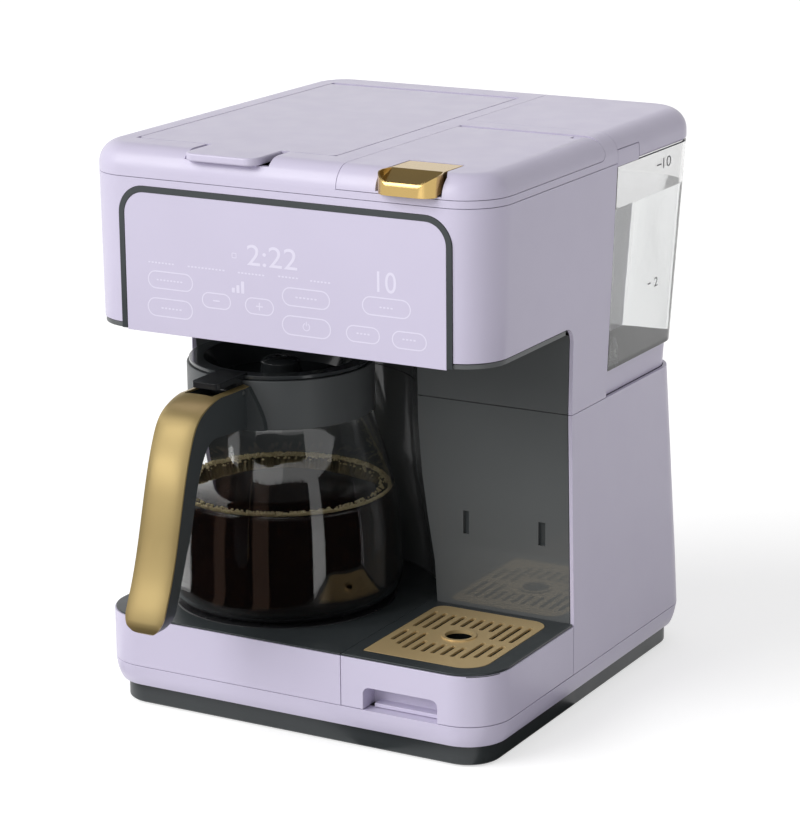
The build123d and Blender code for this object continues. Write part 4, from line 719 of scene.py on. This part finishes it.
def textShape(bm, text, left, low, width, height, lay):
    # plain numerals, scaled to the given box
    curve = bpy.data.curves.new("numerals", "FONT")
    curve.body = text
    obj = bpy.data.objects.new("numerals", curve)
    link(obj)
    mesh = bpy.data.meshes.new_from_object(obj.evaluated_get(bpy.context.evaluated_depsgraph_get()))
    bpy.data.objects.remove(obj)
    xs = [v.co.x for v in mesh.vertices]
    ys = [v.co.y for v in mesh.vertices]
    x0, x1, y0, y1 = min(xs), max(xs), min(ys), max(ys)
    across = [left + (x - x0) / (x1 - x0) * width for x in xs]
    up = [low + (y - y0) / (y1 - y0) * height for y in ys]
    made = [bm.verts.new(lay(x, z)) for x, z in zip(across, up)]
    for poly in mesh.polygons:
        bm.faces.new([made[i] for i in poly.vertices])
    bpy.data.meshes.remove(mesh)


panelMarks = {
    "face": -150.0, "proud": 0.05, "line": 0.75,
    "time": ("2:22", -22.2, 304.3, 35.7, 13.1), "count": ("10", 69.1, 297.1, 13.0, 12.8),
    "steps": [(-32.6, 287.6, 2.2, 3.0), (-29.2, 288.6, 2.2, 5.0), (-25.8, 289.9, 2.2, 7.6)],
    "pills": [
        (-78.8, 288.5, 33.6, 11.5), (-79.5, 271.0, 33.7, 12.1), (-45.2, 279.4, 21.3, 10.2),
        (-14.0, 279.2, 20.9, 10.7), (19.3, 287.8, 34.0, 11.8), (19.3, 270.0, 34.8, 12.5),
        (75.3, 288.2, 33.6, 11.7), (58.9, 269.8, 23.6, 10.5), (90.8, 269.4, 23.9, 11.1),
    ],
    "labels": [
        (-85.4, 299.3, 20), (-52.2, 299.2, 28), (-19.6, 299.0, 20), (6.9, 299.6, 15), (29.5, 299.1, 15),
        (-79.5, 288.5, 20), (-78.6, 270.7, 16), (19.4, 287.8, 16), (75.1, 287.9, 10), (59.0, 270.2, 10),
        (90.6, 270.0, 10),
    ],
    "dash": {"pitch": 2.6, "share": 0.62, "height": 1.0},
    "minus": (-45.2, 279.4, 5.0), "plus": (-14.0, 279.2, 5.0), "power": (19.3, 270.0, 2.6),
    "square": (-31.5, 309.4, 3.4),
    "stroke": 0.8, "arm": (1.45, 2.1), "round": 0.3, "thin": 0.6, "thick": 0.04,
}


def panelDisplay():
    values = panelMarks
    bm = bmesh.new()

    def lay(x, z):
        return place(x, values["face"] - values["proud"], z)

    for key in ("time", "count"):
        text, left, low, width, height = values[key]
        textShape(bm, text, left, low, width, height, lay)
    for cx, cz, width, height in values["steps"]:
        fillShape(bm, barShape(cx, cz, width, height, 0.4), lay)
    for cx, cz, width, height in values["pills"]:
        outlineShape(bm, cx, cz, width, height, values["line"], lay)
    dash, stroke, rounded, thin = values["dash"], values["stroke"], values["round"], values["thin"]
    for cx, cz, width in values["labels"]:
        # a row of short dashes where a word stands
        count = max(2, round(width / dash["pitch"]))
        step = width / count
        for k in range(count):
            x = cx - width / 2 + (k + 0.5) * step
            fillShape(bm, barShape(x, cz, step * dash["share"], dash["height"], rounded), lay)
    for key in ("minus", "plus"):
        cx, cz, width = values[key]
        fillShape(bm, barShape(cx, cz, width, stroke, rounded), lay)
    cx, cz, width = values["plus"]
    armMiddle, armLength = values["arm"]
    for side in (1, -1):
        fillShape(bm, barShape(cx, cz + side * armMiddle, stroke, armLength, rounded), lay)
    cx, cz, radius = values["power"]
    ringPoints = 28
    for k in range(2, ringPoints - 2):
        a0 = math.pi / 2 + 2 * math.pi * k / ringPoints
        a1 = math.pi / 2 + 2 * math.pi * (k + 1) / ringPoints
        quad = [
            (cx + r * math.cos(a), cz + r * math.sin(a))
            for r, a in ((radius, a0), (radius, a1), (radius - thin, a1), (radius - thin, a0))
        ]
        fillShape(bm, quad, lay)
    fillShape(bm, barShape(cx, cz + radius * 0.75, thin, radius * 1.1, 0.25), lay)
    cx, cz, size = values["square"]
    outlineShape(bm, cx, cz, size, size, 0.5, lay, 0.5)
    thickenFlat(bm, (0, -1, 0), values["thick"])
    addPiece("panel_marks", bm, panelPrint, bodyOf["touch_panel"], False)


def thickenFlat(bm, outward, thick):
    # turns flat faces outwards and gives them a thin edge behind
    out = Vector(outward)
    bm.normal_update()
    turned = [f for f in bm.faces if f.normal.dot(out) < 0]
    bmesh.ops.reverse_faces(bm, faces=turned)
    front = bm.faces[:]
    borders = [(e, e.link_faces[0]) for e in bm.edges if e.is_boundary]
    back = {}
    for v in list(bm.verts):
        back[v] = bm.verts.new(v.co - out * thick * mm)
    for f in front:
        bm.faces.new([back[v] for v in reversed(f.verts)])
    for e, f in borders:
        loop = [lp for lp in f.loops if lp.edge == e][0]
        a, b = loop.vert, loop.link_loop_next.vert
        bm.faces.new((b, a, back[a], back[b]))


panelDisplay()

tankMarks = {
    "proud": 0.07, "thick": 0.04, "outside": 170,
    "ticks": [(88.5, 340.6, 7.0, 1.0), (78.1, 263.7, 4.9, 0.9)],
    "numbers": [("10", 94.5, 337.4, 12.3, 6.9), ("2", 85.9, 260.0, 5.4, 6.0)],
}


def tankScale():
    wall = surfaceOf("water_tank")
    bm = bmesh.new()

    def lay(y, z):
        start = place(tankMarks["outside"], y, z)
        hit = wall.ray_cast(start, Vector((-1, 0, 0)))[0]
        return hit + Vector((tankMarks["proud"] * mm, 0, 0))

    for cy, cz, width, height in tankMarks["ticks"]:
        fillShape(bm, barShape(cy, cz, width, height, 0.2), lay)
    for text, left, low, width, height in tankMarks["numbers"]:
        textShape(bm, text, left, low, width, height, lay)
    thickenFlat(bm, (1, 0, 0), tankMarks["thick"])
    addPiece("tank_marks", bm, tankPrint, "tank", False)


tankScale()
print("marks laid")


# studio
studio = {
    "floorSize": 40.0, "floorColor": (0.80, 0.80, 0.80), "ambient": 0.41,
    "floorGlow": 0.60, "floorTint": (0.60, 0.60, 0.60),
    "key": {"toward": (-0.50, -0.66, 0.56), "strength": 2.40, "spread": 45},
    "fill": {"place": (300, -1900, 500), "size": 1.4, "power": 4, "aim": (0, 0, 150)},
}


def areaLight(name, place_, size, power, aim):
    data = bpy.data.lights.new(name, "AREA")
    data.shape = "SQUARE"
    data.size = size
    data.energy = power
    obj = link(bpy.data.objects.new(name, data))
    obj.location = place(*place_)
    obj.rotation_euler = (place(*aim) - obj.location).to_track_quat("-Z", "Y").to_euler()


fillLight = studio["fill"]
areaLight("fill", fillLight["place"], fillLight["size"], fillLight["power"], fillLight["aim"])
keyData = bpy.data.lights.new("key", "SUN")
keyData.energy = studio["key"]["strength"]
keyData.angle = math.radians(studio["key"]["spread"])
keyLight = link(bpy.data.objects.new("key", keyData))
keyLight.rotation_euler = (-Vector(studio["key"]["toward"])).to_track_quat("-Z", "Y").to_euler()


def seenDirectly(tree):
    # one for camera, glossy and transmission rays, nought for the rays that light the object
    path = tree.nodes.new("ShaderNodeLightPath")
    first = tree.nodes.new("ShaderNodeMath")
    first.operation = "MAXIMUM"
    second = tree.nodes.new("ShaderNodeMath")
    second.operation = "MAXIMUM"
    tree.links.new(path.outputs["Is Camera Ray"], first.inputs[0])
    tree.links.new(path.outputs["Is Glossy Ray"], first.inputs[1])
    tree.links.new(first.outputs[0], second.inputs[0])
    tree.links.new(path.outputs["Is Transmission Ray"], second.inputs[1])
    return second.outputs[0]


world = bpy.data.worlds.new("studio")
bpy.context.scene.world = world
world.use_nodes = True
wt = world.node_tree
wt.nodes.clear()
worldOut = wt.nodes.new("ShaderNodeOutputWorld")
backWhite = wt.nodes.new("ShaderNodeBackground")
ambientLight = wt.nodes.new("ShaderNodeBackground")
backWhite.inputs["Color"].default_value = (1, 1, 1, 1)
backWhite.inputs["Strength"].default_value = 1.0
ambientLight.inputs["Color"].default_value = (1, 1, 1, 1)
ambientLight.inputs["Strength"].default_value = studio["ambient"]
pick = wt.nodes.new("ShaderNodeMixShader")
wt.links.new(seenDirectly(wt), pick.inputs[0])
wt.links.new(ambientLight.outputs[0], pick.inputs[1])
wt.links.new(backWhite.outputs[0], pick.inputs[2])
wt.links.new(pick.outputs[0], worldOut.inputs[0])

floorMesh = bpy.data.meshes.new("floor")
half = studio["floorSize"] / 2
floorCorners = [(-half, -half, 0), (half, -half, 0), (half, half, 0), (-half, half, 0)]
floorMesh.from_pydata(floorCorners, [], [(0, 1, 2, 3)])
floorMat, ft, floorShader, floorOut = newMaterial("floorPaper")
setAll(floorShader, {"Base Color": (*studio["floorColor"], 1), "Roughness": 0.9, "Specular IOR Level": 0.0})
glow = ft.nodes.new("ShaderNodeEmission")
glow.inputs["Strength"].default_value = studio["floorGlow"]
paper = ft.nodes.new("ShaderNodeBsdfDiffuse")
paper.inputs["Color"].default_value = (*studio["floorTint"], 1)
both = ft.nodes.new("ShaderNodeAddShader")
choose = ft.nodes.new("ShaderNodeMixShader")
ft.links.new(glow.outputs[0], both.inputs[0])
ft.links.new(paper.outputs[0], both.inputs[1])
ft.links.new(seenDirectly(ft), choose.inputs[0])
ft.links.new(floorShader.outputs[0], choose.inputs[1])
ft.links.new(both.outputs[0], choose.inputs[2])
ft.links.new(choose.outputs[0], floorOut.inputs["Surface"])
floor = meshObject("floor", floorMesh, floorMat)

# dark cards round the carafe's front, seen only in gloss and glass, with warm strips between them:
# upright ones, flat ones on the floor and flat ones under the head's height, and a dusky one far overhead
cards = {
    "distance": 340, "near": 132, "low": 2, "high": 235,
    "brow": {"height": 240, "near": 150, "far": 300, "within": 60},
    "roof": {"height": 1200, "half": 1300},
    "dark": (0.012, 0.011, 0.011), "warm": (0.13, 0.085, 0.065), "dusk": (0.26, 0.26, 0.27),
    "spans": [
        (-62, -33, "dark"), (-33, -22, "warm"), (-22, 4, "dark"), (4, 18, "warm"), (18, 56, "dark"),
        (67, 104, "dark"),
    ],
}


def cardMaterial(name, color):
    mat, tree, shader, out = newMaterial(name)
    setAll(shader, {"Base Color": (0, 0, 0, 1), "Roughness": 1.0, "Specular IOR Level": 0.0})
    shader.inputs["Emission Color"].default_value = (*color, 1)
    shader.inputs["Emission Strength"].default_value = 1.0
    return mat


cardLook = {key: cardMaterial(key + "Card", cards[key]) for key in ("dark", "warm", "dusk")}


def addCard(name, corners, look):
    cardMesh = bpy.data.meshes.new(name)
    cardMesh.from_pydata(corners, [], [(0, 1, 3, 2)])
    card = meshObject(name, cardMesh, cardLook[look])
    card.visible_camera = False
    card.visible_diffuse = False
    card.visible_shadow = False
    return card


def aroundCarafe(angle, reach, z):
    a = math.radians(angle - 90)
    return place(coffeeSet["x"] + reach * math.cos(a), coffeeSet["y"] + reach * math.sin(a), z)


def cardCorners(angles, reaches, heights):
    return [aroundCarafe(a, reach, z) for a in angles for reach in reaches for z in heights]


brow, roof = cards["brow"], cards["roof"]
for k, (start, end, look) in enumerate(cards["spans"]):
    angles = (start, end)
    addCard("card_%d" % k, cardCorners(angles, (cards["distance"],), (cards["low"], cards["high"])), look)
    addCard("low_card_%d" % k, cardCorners(angles, (cards["near"], cards["distance"]), (cards["low"],)), look)
    if end < brow["within"]:
        corners = cardCorners(angles, (brow["near"], brow["far"]), (brow["height"],))
        addCard("brow_card_%d" % k, corners, "dark")
sides = (-roof["half"], roof["half"])
roofCard = addCard("roof_card", [place(x, y, roof["height"]) for x in sides for y in sides], "dusk")
roofCard.visible_transmission = False
print("studio ready")
